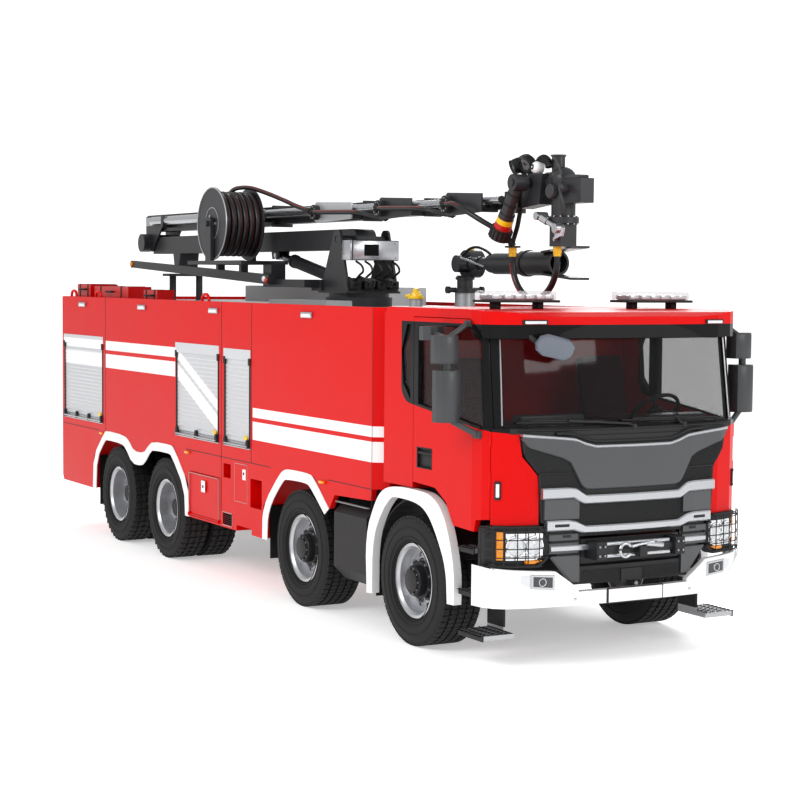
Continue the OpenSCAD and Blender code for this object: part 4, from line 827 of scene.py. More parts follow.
frame_edge.box((4.938, -0.268, 0.484), (4.952, 0.268, 0.606), 0.004)
face.box((4.946, -0.256, 0.494), (4.956, 0.256, 0.597), 0.002)
frame_edge.piece("plate_frame", black_plastic, "chassis")
face.piece("blank_plate", white_paint, "chassis", "white_paint")

# %% Winch details
bolts, hook = makers(2)
for y in (-0.375, 0.375):
    for dy in (-0.024, 0.024):
        for z in (0.872, 0.942):
            bolts.bar((5.019, y + dy, z), (5.03, y + dy, z), 0.01, 6)
hook.bar((4.965, -0.3, 0.952), (4.965, 0.3, 0.952), 0.016, 20)
hook.bar((4.972, -0.3, 0.862), (4.972, 0.3, 0.862), 0.016, 20)
hook.path([Vector((5.024, -0.155 + 0.052 * math.cos(a), 0.905 + 0.052 * math.sin(a)))
           for a in [math.pi * k / 12 for k in range(2, 22)]], 0.013, 12)
hook.bar((5.024, -0.1, 0.93), (5.024, 0.11, 0.955), 0.014, 16)
hook.bar((5.02, 0.04, 0.945), (5.02, 0.2, 0.925), 0.02, 16)
bolts.piece("winch_bolts", nut_steel, "chassis", "rod_steel")
hook.piece("winch_hook", bright_bar, "chassis", "rod_steel")

# %% [markdown]
# ## Light bars, scene lamps, markers and tail lamps
# A light bar is a dark base with rows of small lamp modules under a clear dome. Along the body run
# scene lamps under the roof's edge, amber markers over the skirts and three tail lamps on each side.

# %% Light bars
domes, modules, bases = makers(3)
for y in (-0.66, 0.66):
    bases.box((4.085, y - 0.325, 2.796), (4.355, y + 0.325, 2.816), 0.006)
    for s in (-0.2, 0.2):
        bases.box((4.18, y + s - 0.03, 2.744), (4.26, y + s + 0.03, 2.798), 0.006)
    outline = [(4.082, -0.25), (4.1, -0.315), (4.15, -0.33), (4.27, -0.33), (4.325, -0.305), (4.355, -0.24),
               (4.36, 0.0), (4.355, 0.24), (4.325, 0.305), (4.27, 0.33), (4.15, 0.33), (4.1, 0.315),
               (4.082, 0.25)]
    domes.plate([(x, v + y) for x, v in outline], 2, 2.814, 2.886, 0.018)
    for k in range(6):
        v = y - 0.245 + 0.098 * k
        inward = 0.02 if k in (0, 5) else 0.0
        for x in (4.315 - inward, 4.095 + inward):
            modules.box((x, v - 0.04, 2.824), (x + 0.03, v + 0.04, 2.858), 0.004)
    bases.box((4.13, y - 0.29, 2.816), (4.31, y + 0.29, 2.852), 0.01)
bases.piece("light_bar_bases", black_plastic, "chassis")
modules.piece("light_bar_modules", reflector, "chassis", "lamp_glass")
dome_lens = glass("dome_lens", (0.72, 0.75, 0.78), 0.34, 0.08)
domes.piece("light_bar_domes", dome_lens, "chassis", "lamp_glass")

# %% Lamps on the body
cases, leds, marks, tails = makers(4)
for x in (-4.17, -2.28, -0.35, 1.72):
    cases.box((x - 0.105, -1.272, 2.618), (x + 0.105, -1.249, 2.672), 0.006)
    leds.box((x - 0.088, -1.276, 2.628), (x + 0.088, -1.262, 2.656), 0.003)
for x in (-3.532, -1.01, 2.04):
    marks.box((x - 0.042, -1.276, 1.168), (x + 0.042, -1.25, 1.194), 0.005)
for z0, z1 in ((0.885, 0.965), (0.97, 1.05), (1.055, 1.135)):
    tails.box((-4.943, -1.185, z0), (-4.899, -1.015, z1), 0.008)
for maker, name, mat, record in ((cases, "scene_lamp_cases", bright_bar, "rod_steel"),
        (leds, "scene_lamp_lenses", white_lens, "lamp_glass"),
        (marks, "side_markers", amber_lens, "lamp_glass"), (tails, "tail_lamps", red_lens, "lamp_glass")):
    maker.mirrored()
    maker.piece(name, mat, "chassis", record)

# %% [markdown]
# ## Windscreen, cowl and wipers
# The screen leans back by eight degrees over the cowl. Two wipers lie along its lower edge, and a
# stepped black cowl with a raised lip fills the room down to the bright rim of the nose.


# %% Cowl, wipers, brow lamps and the near-side mirror over the screen
screen_inset, screen_lean, screen_foot = 0.032, 0.1405, 1.85


def on_screen(y, z, out=0.0):
    return Vector((nose_x(y) - screen_inset - screen_lean * (z - screen_foot) + out, y, z))


cowl, lip, wipers, edges, brow, brow_glass = makers(6)
cowl_low = shifted(plate_top, 0.006)
columns(cowl, spaced(-1.06, 1.06), cowl_low, [(0, 1.838), (0.6, 1.842), (1.06, 1.852), (9, 1.852)], -0.05,
        0.003, 0.004)
columns(lip, spaced(-0.7, 0.7), [(d, min(z + 0.026, 1.8)) for d, z in plate_top],
        [(d, min(z + 0.026, 1.8) + 0.024) for d, z in plate_top], 0.0, 0.03, 0.008)
columns(lip, spaced(-1.0, 1.0), flat(1.826), flat(1.842), -0.02, 0.012, 0.005)
for pivot, near, far in ((0.02, -1.0, -0.16), (0.52, -0.08, 1.0)):
    wipers.path([on_screen(y, 1.88 + 0.012 * math.cos(2 * (y - near)), 0.01)
                 for y in spaced(near, far, 0.06)], 0.008, 8)
    wipers.path([on_screen(y, 1.894 + 0.012 * math.cos(2 * (y - near)), 0.02)
                 for y in spaced(near + 0.1, far - 0.1, 0.06)], 0.006, 8)
    middle = (near + far) / 2
    elbow = pivot - 0.05 if middle < pivot else pivot + 0.05
    wipers.path([on_screen(pivot, 1.846, 0.03), on_screen(elbow, 1.868, 0.036),
                 on_screen(middle, 1.902, 0.024)], 0.011, 10)
    wipers.bar(on_screen(pivot, 1.846, -0.01), on_screen(pivot, 1.846, 0.045), 0.02, 20)
for s in (-1, 1):
    edges.path([on_screen(s * (1.094 - 0.03 * (z - 1.865)), z, 0.0) for z in spaced(1.87, 2.52, 0.08)], 0.007,
               8)
    for maker, grow, depth in ((brow, 0.016, -0.018), (brow_glass, 0.0, -0.014)):
        places = spread(s, 0.775 - grow, 0.945 + grow, 0.02)
        columns(maker, places, flat(2.64 - grow / 4), flat(2.662 + grow / 2), -0.05, depth, 0.003)
cowl.piece("cowl", black_plastic, "chassis", "black_plastic")
lip.piece("cowl_lip", black_plastic, "chassis")
wipers.piece("wipers", black_plastic, "chassis")
edges.piece("screen_edges", bright_bar, "chassis", "rod_steel")
brow.piece("brow_recesses", black_plastic, "chassis")
brow_glass.piece("brow_lamps", lamp_shell, "chassis", "lamp_glass")
kerb, kerb_arm = makers(2)
turn = (Matrix.Translation((4.868, -0.735, 2.468)) @ Matrix.Rotation(math.radians(-14), 4, "X")
        @ Matrix.Rotation(math.radians(24), 4, "Y"))
outline = [(-0.165, -0.02), (-0.15, 0.05), (-0.09, 0.082), (0.1, 0.088), (0.16, 0.05), (0.168, -0.03),
           (0.12, -0.082), (-0.08, -0.09), (-0.14, -0.065)]
kerb.plate(outline, 0, -0.035, 0.03, 0.022)
kerb.bm.transform(turn)
kerb_arm.path([(4.7, -0.9, 2.585), (4.76, -0.9, 2.555), (4.815, -0.86, 2.5), (4.84, -0.8, 2.475)], 0.022, 12)
kerb_arm.box((4.69, -0.96, 2.56), (4.745, -0.84, 2.61), 0.012)
kerb_grey = finish("kerb_grey", (0.13, 0.15, 0.18), 0.35, coat=0.2, drift=0.06)
kerb.piece("screen_mirror", kerb_grey, "chassis", "dark_panel")
kerb_arm.piece("screen_mirror_arm", black_plastic, "chassis")

# %% [markdown]
# ## Cab sides
# Mirror glasses, a pull handle in its recess, corner lamps, and aluminium treads with raised teeth
# on the entry steps.

# %% Mirror glasses, handles and corner lamps
mirror_glass = finish("mirror_glass", (0.55, 0.58, 0.6), 0.05, metal=0.95, drift=0.03, grain=0.0,
                      rough_drift=0.01)
mirror_y = 1.43
cap = [(0.05, -0.1005), (0.064, -0.101), (0.1065, -0.0815), (0.128, -0.041), (0.132, 0.0), (0.128, 0.041),
       (0.1065, 0.0815), (0.064, 0.101), (0.05, 0.1005)]
for hand, s in hands:
    panes, caps, pulls, sockets = makers(4)
    # A glass behind and a grey cap in front of both heads
    for x, z0, z1 in ((4.37, 2.335, 2.55), (4.4, 1.89, 2.285)):
        panes.box((x + 0.006, s * mirror_y - 0.08, z0 + 0.02), (x + 0.013, s * mirror_y + 0.08, z1 - 0.02),
                  0.003)
        caps.plate([(x + a, s * mirror_y + b) for a, b in cap], 2, z0 + 0.012, z1 - 0.012, 0.003)
    panes.piece(f"mirror_panes_{hand}", mirror_glass, f"door_{hand}", "lamp_glass")
    caps.piece(f"mirror_caps_{hand}", mirror_grey, f"door_{hand}", "black_plastic")
    # Handle: a black dish in the recess and a bar across it
    sockets.box((3.643, s * 1.1985 - 0.003, 1.463), (3.877, s * 1.1985 + 0.003, 1.627), 0.002)
    strips(sockets, s * 1.2, s * 1.2225, (((3.64, 1.46), (3.652, 1.63)), ((3.868, 1.46), (3.88, 1.63)),
            ((3.64, 1.46), (3.88, 1.47)), ((3.64, 1.62), (3.88, 1.63))), 0.002)
    pulls.path([(3.65, s * 1.206, 1.585), (3.7, s * 1.214, 1.585), (3.82, s * 1.214, 1.585),
                (3.87, s * 1.206, 1.585)], 0.013, 12)
    pulls.bar((3.84, s * 1.2, 1.505), (3.84, s * 1.208, 1.505), 0.014, 20)
    sockets.piece(f"handle_dish_{hand}", black_plastic, f"door_{hand}")
    pulls.piece(f"handle_pull_{hand}", black_plastic, f"door_{hand}")
corner_cases, corner_lens = makers(2)
for s in (-1, 1):
    at = Vector((nose_x(1.13), s * 1.13, 1.38))
    out = nose_frame(s * 1.13)
    tangent = Vector((-out.y, out.x, 0))
    for maker, wide, high, low, far in ((corner_cases, 0.024, 0.07, -0.006, 0.014),
            (corner_lens, 0.014, 0.052, 0.0, 0.019)):
        made = Maker()
        made.box((-wide, low, -high), (wide, far, high), 0.005)
        made.bm.transform(Matrix(((tangent.x, out.x, 0, at.x), (tangent.y, out.y, 0, at.y), (0, 0, 1, at.z),
                                  (0, 0, 0, 1))))
        maker.join(made.bm)
corner_cases.piece("corner_lamp_cases", black_plastic, "chassis")
corner_lens.piece("corner_lamps", lamp_shell, "chassis", "lamp_glass")

# %% [markdown]
# ## Fields of small blocks
# Step teeth, grille bars and the chequer on the roof walkways are all one idea: a flat field of like
# blocks. One node tree makes them all; the counts, the pitch and the block's own size are its inputs.


# %% A node tree for a field of blocks
def field_tree():
    tree, given = open_tree("block_field", {"Wide": 1.0, "Deep": 0.3, "Columns": 10, "Rows": 4,
            "Size X": 0.02, "Size Y": 0.02, "Size Z": 0.02, "Turn": 0.0})
    grid = add(tree, "GeometryNodeMeshGrid", Size_X=given["Wide"], Size_Y=given["Deep"],
               Vertices_X=given["Columns"], Vertices_Y=given["Rows"])
    size = add(tree, "ShaderNodeCombineXYZ", X=given["Size X"], Y=given["Size Y"], Z=given["Size Z"])
    cube = add(tree, "GeometryNodeMeshCube", Size=size.outputs["Vector"])
    put = add(tree, "GeometryNodeInstanceOnPoints", Points=grid.outputs["Mesh"],
              Instance=cube.outputs["Mesh"])
    spin = add(tree, "ShaderNodeCombineXYZ", Z=given["Turn"])
    turned = add(tree, "GeometryNodeRotateInstances", Instances=put.outputs["Instances"],
                 Rotation=spin.outputs["Vector"])
    return close_tree(tree, given, turned.outputs["Instances"])


field = field_tree()


def blocks(maker, mat, centre, wide, deep, counts, size, turn=0.0, tip=None):
    """Adds a field of blocks round a centre; tip turns the whole field out of the level."""
    mesh = run_tree(field, {"Wide": wide, "Deep": deep, "Columns": counts[0], "Rows": counts[1],
                            "Size X": size[0], "Size Y": size[1], "Size Z": size[2], "Turn": turn,
                            "Material": mat})
    mesh.transform(Matrix.Translation(centre) @ (tip or Matrix.Identity(4)))
    maker.take(mesh)


steps_paint = finish("steps_paint", (0.016, 0.016, 0.017), 0.55, drift=0.15, grain_scale=700, grain=0.08)
chain = Chain(steps_paint)
step_heights = ((0.2, 0.29), (0.52, 0.61), (0.855, 0.945))
chain.paint(chain.any_of(*[chain.between(chain.z, *span) for span in step_heights]), (0.45, 0.46, 0.47), 0.42,
            0.6)
repaint(steps_paint, "cab_steps")
teeth, brackets = makers(2)
for s in (-1, 1):
    for z, front in ((0.225, 4.66), (0.545, 4.53), (0.88, 4.52)):
        middle, length = (4.3 + front) / 2, front - 4.3
        for row in range(4):
            y = s * (0.955 + 0.078 * row)
            blocks(teeth, tread_metal, (middle, y, z + 0.037), length - 0.03, 0.0, (int(length / 0.022), 2),
                   (0.009, 0.006, 0.012))
            blocks(brackets, black_plastic, (middle, y + s * 0.04, z + 0.0355), length - 0.05, 0.0,
                   (int(length / 0.05), 2), (0.022, 0.022, 0.003))
        brackets.box((4.3, min(s * 1.208, s * 1.219), z - 0.008),
                     (front + 0.003, max(s * 1.208, s * 1.219), z + 0.038), 0.003)
teeth.piece("step_teeth", tread_metal, "chassis", "tread_metal", smooth=False)
brackets.piece("step_edges", black_plastic, "chassis", smooth=False)

# %% [markdown]
# ## Inside the cab
# Two sprung seats, a bench against the rear wall, a dash with a hood over the instruments and the
# steering wheel show through the glass. The seats are crowned forms with sewn channels.


# %% Seats and bench
def cushion(maker, low, high, crown, channels, up=2, cuts=12):
    """A closed pad: its faces swell, its corners pull in, and sewn channels run along it."""
    half, middle = (Vector(high) - Vector(low)) / 2, (Vector(high) + Vector(low)) / 2
    part = bmesh.new()
    bmesh.ops.create_cube(part, size=2.0)
    bmesh.ops.subdivide_edges(part, edges=part.edges[:], cuts=cuts, use_grid_fill=True)
    a, b = [i for i in range(3) if i != up]
    for v in part.verts:
        q = v.co.copy()
        pulled = [q[i] * (1 - 0.05 * sum(q[j] ** 4 for j in range(3) if j != i)) for i in range(3)]
        p = [half[i] * pulled[i] for i in range(3)]
        p[up] += crown * q[up] * (1 - q[a] ** 2) * (1 - q[b] ** 2)
        for place in channels:
            p[up] -= math.copysign(0.012, q[up]) * math.exp(-((q[b] - place) / 0.05) ** 2) * abs(q[up])
        v.co = Vector(p) + middle
    maker.join(part)


seat_cloth = finish("seat_cloth", (0.06, 0.01, 0.012), 0.85, drift=0.2, drift_scale=9, grain_scale=900,
                    grain=0.35)
dash_grey = finish("dash_grey", (0.035, 0.036, 0.038), 0.6, drift=0.1, grain_scale=900, grain=0.12)
for hand, y in (("r", -0.7), ("l", 0.7)):
    seat, back, base = makers(3)
    cushion(seat, (3.575, y - 0.235, 1.735), (4.045, y + 0.235, 1.838), 0.012, (-0.5, 0.5))
    cushion(back, (-0.045, -0.225, 0.02), (0.045, 0.225, 0.62), 0.01, (-0.45, 0.0, 0.45), up=0)
    back.bm.transform(Matrix.Translation((3.548, y, 1.715)) @ Matrix.Rotation(math.radians(-10.8), 4, "Y"))
    base.box((3.6, y - 0.17, 1.337), (3.98, y + 0.17, 1.4), 0.02)
    base.box((3.66, y - 0.14, 1.4), (3.92, y + 0.14, 1.66), 0.03)
    base.box((3.585, y - 0.21, 1.66), (4.02, y + 0.21, 1.735), 0.02)
    seat.piece(f"seat_cushion_{hand}", seat_cloth, "chassis")
    back.piece(f"seat_back_{hand}", seat_cloth, "chassis")
    base.piece(f"seat_base_{hand}", black_plastic, "chassis")
bench, bench_pad = makers(2)
bench.box((3.137, -0.948, 1.337), (3.322, 0.948, 1.7), 0.015)
for y in (-0.632, 0.0, 0.632):
    cushion(bench_pad, (3.142, y - 0.308, 1.702), (3.326, y + 0.308, 1.756), 0.006, (-0.5, 0.5))
bench.piece("bench_base", dash_grey, "chassis")
bench_pad.piece("bench_pads", seat_cloth, "chassis")

# %% Dash and steering wheel
dash, hood, wheel = makers(3)
dash.plate([(4.385, 1.338), (4.402, 1.748), (4.482, 1.846), (4.638, 1.828), (4.646, 1.338)], 1, -1.075, 1.075,
           0.018)
hood.plate([(4.395, 1.8), (4.405, 1.872), (4.455, 1.905), (4.54, 1.895), (4.6, 1.84), (4.6, 1.8)], 1, 0.4,
           1.0, 0.022)
hood.box((4.46, -0.85, 1.82), (4.59, -0.25, 1.93), 0.02)
tilt = Matrix.Translation((4.23, 0.7, 1.89)) @ Matrix.Rotation(math.radians(-45), 4, "Y")
wheel.turned([(v, 0.215 + u) for u, v in circle(12, 0.016)], (0, 0, 0), (0, 0, 1), 48)
wheel.turned([(-0.02, 0.0), (-0.02, 0.07), (0.008, 0.075), (0.018, 0.055), (0.022, 0.0)], (0, 0, 0),
             (0, 0, 1), 32, closed=False)
for a in (math.pi / 2, math.radians(210), math.radians(330)):
    wheel.bar((0.05 * math.cos(a), 0.05 * math.sin(a), -0.004),
              (0.212 * math.cos(a), 0.212 * math.sin(a), 0.0), 0.012, 10)
wheel.bar((0, 0, -0.02), (0, 0, -0.24), 0.03, 20)
wheel.bm.transform(tilt)
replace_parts(dash.piece("dash", dash_grey, "chassis"), "cab_interior")
hood.piece("dash_hood", mirror_grey, "chassis")
wheel.piece("steering_wheel", black_plastic, "chassis")

# %% [markdown]
# ## The boom
# The boom is dark grey with a bright water pipe beside it. The pipe belongs to the same solids as the
# boom's sections, so a mask round the pipe's axis makes it silver. The first bracket is pale; on each
# bracket sits a black flange with a ring of bolts, where the hose is clamped.


# %% Boom finishes with a bright pipe
pipe_y, pipe_z, boom_z = -0.162, 3.65, 3.63
reel_x, reel_z = -1.55, 3.54


def pipe_finish(name, pale_bracket=False):
    mat = finish(name, (0.03, 0.031, 0.034), 0.4, coat=0.1, drift=0.15, grain=0.05)
    chain = Chain(mat)
    dy, dz = chain.maths("ADD", chain.y, -pipe_y), chain.maths("ADD", chain.z, -pipe_z)
    gap = chain.maths("ADD", chain.maths("MULTIPLY", dy, dy), chain.maths("MULTIPLY", dz, dz))
    chain.paint(chain.maths("LESS_THAN", gap, 0.0565 ** 2), (0.48, 0.49, 0.51), 0.2, 0.9)
    if pale_bracket:
        chain.paint(chain.between(chain.y, -0.2385, -0.2215), (0.52, 0.53, 0.54), 0.35, 0.4)
    return mat


for name, pale in (("upper_boom", False), ("boom_section_2", True), ("boom_section_3", False),
                   ("boom_section_4", False)):
    repaint(pipe_finish("paint_of_" + name, pale), name)
reel_paint = finish("reel_paint", (0.036, 0.037, 0.04), 0.42, coat=0.1, drift=0.15, grain=0.05)
chain = Chain(reel_paint)
rx, rz = chain.maths("ADD", chain.x, -reel_x), chain.maths("ADD", chain.z, -reel_z)
reach = chain.maths("SQRT", chain.maths("ADD", chain.maths("MULTIPLY", rx, rx),
        chain.maths("MULTIPLY", rz, rz)))
wound = chain.all_of(chain.between(chain.y, -0.7375, -0.3305), chain.maths("LESS_THAN", reach, 0.346))
turn_share = chain.maths("FRACT", chain.maths("MULTIPLY", chain.maths("ADD", chain.y, 0.739), 1 / 0.068))
chain.paint(wound, (0.013, 0.013, 0.014), 0.42)
chain.paint(chain.all_of(wound, chain.between(turn_share, 0.655, 0.695),
                         chain.maths("GREATER_THAN", reach, 0.322)), (0.42, 0.012, 0.01), 0.45)
repaint(reel_paint, "hose_reel")
print("boom finishes: 5")

# %% Bracket flanges and hose runs
hose_black = finish("hose_black", (0.014, 0.014, 0.015), 0.36, coat=0.1, drift=0.15, grain_scale=300,
                    grain=0.05)
hose_red = finish("hose_red", (0.5, 0.015, 0.012), 0.4, drift=0.1)


def smooth_route(points, steps=8):
    """A smooth curve through given points."""
    pts = [Vector(p) for p in points]
    out = []
    for i in range(len(pts) - 1):
        p0, p1, p2, p3 = pts[max(0, i - 1)], pts[i], pts[i + 1], pts[min(len(pts) - 1, i + 2)]
        for k in range(steps):
            t = k / steps
            square = (2 * p0 - 5 * p1 + 4 * p2 - p3) * t * t
            cube = (3 * p1 - p0 - 3 * p2 + p3) * t ** 3
            out.append(0.5 * (2 * p1 + (p2 - p0) * t + square + cube))
    return out + [pts[-1]]


def hose(name, points, body, head=None, radius=0.023):
    """A hose with a stripe and two crimped fittings; if a head is given, the pieces ride on no body and stay
    where they are made.
    """
    line = smooth_route(points)
    tube, stripe, fittings = makers(3)
    tube.path(line, radius, 14)
    stripe.path([p + Vector((0, -radius * 0.8, radius * 0.52)) for p in line], radius * 0.11, 6)
    for tip, inner in ((line[0], line[3]), (line[-1], line[-4])):
        inward = (inner - tip).normalized()
        fittings.bar(tip - inward * 0.004, tip + inward * 0.014, radius * 1.45, 6)
        fittings.bar(tip, tip + inward * 0.055, radius * 1.18, 18)
    rider = None if head else body
    made, band = tube.piece(name, hose_black, rider), stripe.piece(name + "_stripe", hose_red, rider)
    ends = fittings.piece(name + "_fittings", black_plastic, rider)
    if head:
        for part in (made, band, ends):
            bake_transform(part)


for body, x, far in (("boom_section_2", -0.1, 1.24), ("boom_section_3", 1.24, 2.46),
                     ("boom_section_4", 2.46, 3.16)):
    disc, bolts = makers(2)
    disc.turned([(0.0, 0.0), (0.0, 0.076), (0.01, 0.078), (0.016, 0.074), (0.016, 0.04), (0.034, 0.036),
                 (0.036, 0.0)], (x, -0.2775, boom_z), (0, -1, 0), 40, closed=False)
    for u, v in circle(10, 0.058):
        centre = Vector((x + u, -0.2935, boom_z + v))
        bolts.bar(centre, centre + Vector((0, -0.007, 0)), 0.008, 6)
    disc.piece(f"flange_{body}", black_plastic, body, "black_plastic")
    bolts.piece(f"flange_bolts_{body}", bright_bar, body, "rod_steel")
    start = [(x + 0.01, -0.303, boom_z), (x + 0.11, -0.319, boom_z - 0.002),
             (x + 0.24, -0.333, boom_z - 0.006)]
    if body == "boom_section_4":
        hose(f"hose_on_{body}", start + [(2.86, -0.305, 3.56), (2.98, -0.24, 3.485), (3.075, -0.14, 3.405),
                (3.137, -0.055, 3.33), (3.16, -0.022, 3.262)], body, "boom_head")
    else:
        hose(f"hose_on_{body}", start + [(far - 0.62, -0.337, boom_z - 0.018),
                (far - 0.42, -0.333, boom_z - 0.024), (far - 0.31, -0.308, boom_z - 0.036),
                (far - 0.2, -0.248, boom_z - 0.064), (far - 0.09, -0.205, boom_z - 0.083),
                (far, -0.196, boom_z - 0.086)], body)
hose("hose_to_reel", [(-0.125, -0.302, 3.64), (-0.24, -0.312, 3.668), (-0.42, -0.322, 3.705),
                      (-0.66, -0.345, 3.77), (-0.95, -0.4, 3.85), (-1.2, -0.455, 3.908),
                      (-1.42, -0.475, 3.922), (-1.6, -0.48, 3.908), (-1.74, -0.48, 3.85),
                      (-1.83, -0.48, 3.772)], "turret")

# %% Control box, beam lamps and hydraulic lines
panel_face, grille, lines, valves = makers(4)
panel_face.box((0.686, -0.25, 3.155), (0.696, 0.25, 3.34), 0.004)
panel_face.box((0.515, -0.283, 3.15), (0.69, -0.256, 3.345), 0.006)
for y in (-0.225, 0.225):
    for z in (3.178, 3.318):
        panel_face.bar((0.696, y, z), (0.703, y, z), 0.009, 8)
grille.box((0.694, -0.13, 3.195), (0.699, 0.03, 3.305), 0.002)
blocks(grille, black_plastic, (0.7, -0.05, 3.25), 0.09, 0.0, (8, 2), (0.006, 0.15, 0.008),
       tip=Matrix.Rotation(math.radians(90), 4, "Y"))
for k in range(5):
    y = -0.2 + 0.1 * k
    lines.path(smooth_route([(0.63, y, 2.94 + 0.02 * (k % 2)), (0.7, y + 0.01, 3.0), (0.75, y + 0.03, 3.045),
                             (0.735, y + 0.02, 3.1), (0.66, y, 3.14)]), 0.011, 10)
valve_z = 2.915
for y in (-0.21, -0.07, 0.07, 0.21):
    valves.box((0.636, y - 0.05, valve_z - 0.045), (0.7, y + 0.05, valve_z + 0.035), 0.008)
    valves.bar((0.7, y, valve_z + 0.01), (0.745, y, valve_z + 0.01), 0.014, 12)
for y in (-0.17, 0.02):
    lines.bar((0.69, y, 2.985), (0.985, y - 0.02, 2.93), 0.018, 12)
    lines.bar((0.96, y - 0.018, 2.9), (0.995, y - 0.021, 2.965), 0.026, 14)
panel_face.piece("control_box_face", bright_bar, "turret", "rod_steel")
grille.piece("control_box_grille", black_plastic, "turret", smooth=False)
lines.piece("turret_lines", hose_black, "turret", "hose_rubber")
valves.piece("turret_valves", black_plastic, "turret")
ends, amber_end, red_end, white_end = makers(4)
ends.box((-4.478, -0.542, 3.083), (-4.462, -0.458, 3.167), 0.004)
for y in (-0.53, -0.47):
    for z in (3.095, 3.155):
        ends.bar((-4.478, y, z), (-4.484, y, z), 0.006, 8)
for maker, x, z in ((amber_end, -4.435, 3.124), (red_end, -0.64, 2.945), (white_end, -0.7, 2.962)):
    maker.turned([(0.0, 0.0), (0.0, 0.03), (0.012, 0.03), (0.02, 0.022), (0.024, 0.0)], (x, -0.54, z),
                 (0, -1, 0), 24, closed=False)
ends.piece("beam_end", black_plastic, "turret")
amber_end.piece("beam_lamp_amber", amber_lens, "turret", "lamp_glass")
red_end.piece("beam_lamp_red", red_lens, "turret", "lamp_glass")
white_end.piece("beam_lamp_white", white_lens, "turret", "lamp_glass")
reel_trim = Maker()
reel_at = (reel_x, -0.75, reel_z)
reel_trim.turned([(0.0, 0.165), (0.006, 0.165), (0.006, 0.172), (0.0, 0.172)], reel_at, (0, -1, 0), 64)
reel_trim.turned([(0.0, 0.374), (0.008, 0.374), (0.008, 0.386), (0.0, 0.386)], reel_at, (0, -1, 0), 72)
for u, v in circle(3, 0.09):
    reel_trim.bar((reel_x + u, -0.75, reel_z + v), (reel_x + u, -0.762, reel_z + v), 0.014, 8)
reel_trim.piece("reel_trim", rim_silver, "turret", "rim_silver")

# %% [markdown]
# ## Boom head and hanging hose
# The head carries two work lamps, a white camera ball, a bolted flange and a bright link. A short
# hose hangs in a loop between two brass-coloured couplings; the loop is a fixed half circle whose
# bend is wider than four of its diameters.

# %% Lamps, link and bolts of the head
brass = finish("brass", (0.8, 0.46, 0.03), 0.32, metal=0.35, coat=0.2, drift=0.1)
lamp_cans, lamp_faces, ball, pupil, links, head_bolts, ribs = makers(7)
for centre, aim, r in (((3.335, -0.135, 3.915), (-0.25, -0.8, -0.35), 0.064),
                       ((3.475, -0.105, 3.925), (0.1, -0.85, -0.45), 0.068)):
    aim = Vector(aim).normalized()
    lamp_cans.turned([(0.0, 0.0), (-0.085, r * 0.55), (-0.07, r * 0.9), (0.0, r), (0.01, r * 1.03),
                      (0.01, r * 0.92), (0.002, r * 0.88), (0.0, 0.0)], Vector(centre), aim, 32, closed=False)
    lamp_faces.turned([(0.001, 0.0), (0.005, r * 0.5), (0.003, r * 0.88), (-0.002, r * 0.88), (-0.002, 0.0)],
                      Vector(centre), aim, 32, closed=False)
    for k in range(4):
        ring = Vector(centre) - aim * (0.022 + 0.014 * k)
        lamp_cans.turned([(0.0, r * 0.9), (0.0, r * 1.02), (0.006, r * 1.02), (0.006, r * 0.9)], ring, aim,
                         32)
lamp_cans.path(smooth_route([(3.335, -0.09, 3.9), (3.37, -0.06, 3.87), (3.4, -0.05, 3.845)]), 0.014, 10)
lamp_cans.path(smooth_route([(3.475, -0.06, 3.9), (3.48, -0.05, 3.87), (3.48, -0.04, 3.845)]), 0.018, 10)
ball_at = (3.555, -0.042, 3.905), (0, -0.85, 0.1)
for k in range(12):
    a = math.pi * k / 24
    ball.turned([(0.054 * math.sin(a), 0.054 * math.cos(a)),
                 (0.054 * math.sin(a + math.pi / 24), 0.054 * math.cos(a + math.pi / 24))], *ball_at, 32,
                 closed=False)
ball.turned([(-0.04, 0.0), (-0.04, 0.054), (0.0, 0.054)], *ball_at, 32, closed=False)
pupil.turned([(0.05, 0.0), (0.0545, 0.012), (0.053, 0.02), (0.046, 0.026), (0.04, 0.0)], *ball_at, 24,
             closed=False)


def on_arch(a):
    """A place on the conduit's arch."""
    return Vector((3.6 - 0.095 * math.cos(a), -0.01, 3.87 + 0.11 * math.sin(a)))


for k in range(16):
    a = math.pi * (0.12 + 0.76 * k / 15)
    at = on_arch(a)
    step = Vector((0.095 * math.sin(a), 0, 0.11 * math.cos(a))).normalized() * 0.006
    ribs.bar(at - step, at + step, 0.034, 18)
ribs.path([on_arch(math.pi * (0.1 + 0.8 * k / 15)) for k in range(16)], 0.026, 12)
links.bar((3.7, -0.12, 3.5), (3.905, -0.07, 3.395), 0.022, 18)
links.bar((3.735, -0.113, 3.483), (3.8, -0.097, 3.45), 0.03, 18)
links.bar((3.905, -0.1, 3.395), (3.905, -0.022, 3.395), 0.04, 24)
links.bar((3.7, -0.15, 3.5), (3.7, -0.04, 3.5), 0.034, 20)
links.plate([(3.84, 3.3), (3.93, 3.33), (3.955, 3.4), (3.9, 3.44), (3.85, 3.42)], 1, -0.06, -0.022, 0.006)
for u, v in circle(12, 0.116, 0.5):
    spot = Vector((3.8 + u, 0.06 + v, 3.49))
    head_bolts.bar(spot, spot + Vector((0, 0, 0.012)), 0.009, 6)
    head_bolts.bar(spot - Vector((0, 0, 0.05)), spot - Vector((0, 0, 0.06)), 0.009, 6)
head_bolts.bar((3.8, -0.02, 3.31), (3.8, -0.03, 3.31), 0.018, 20)
valve = Maker()
valve.turned([(0.0, 0.0), (0.0, 0.05), (0.012, 0.06), (0.05, 0.06), (0.058, 0.052), (0.058, 0.0)],
             (3.8, -0.03, 3.7), (0, -1, 0), 28, closed=False)
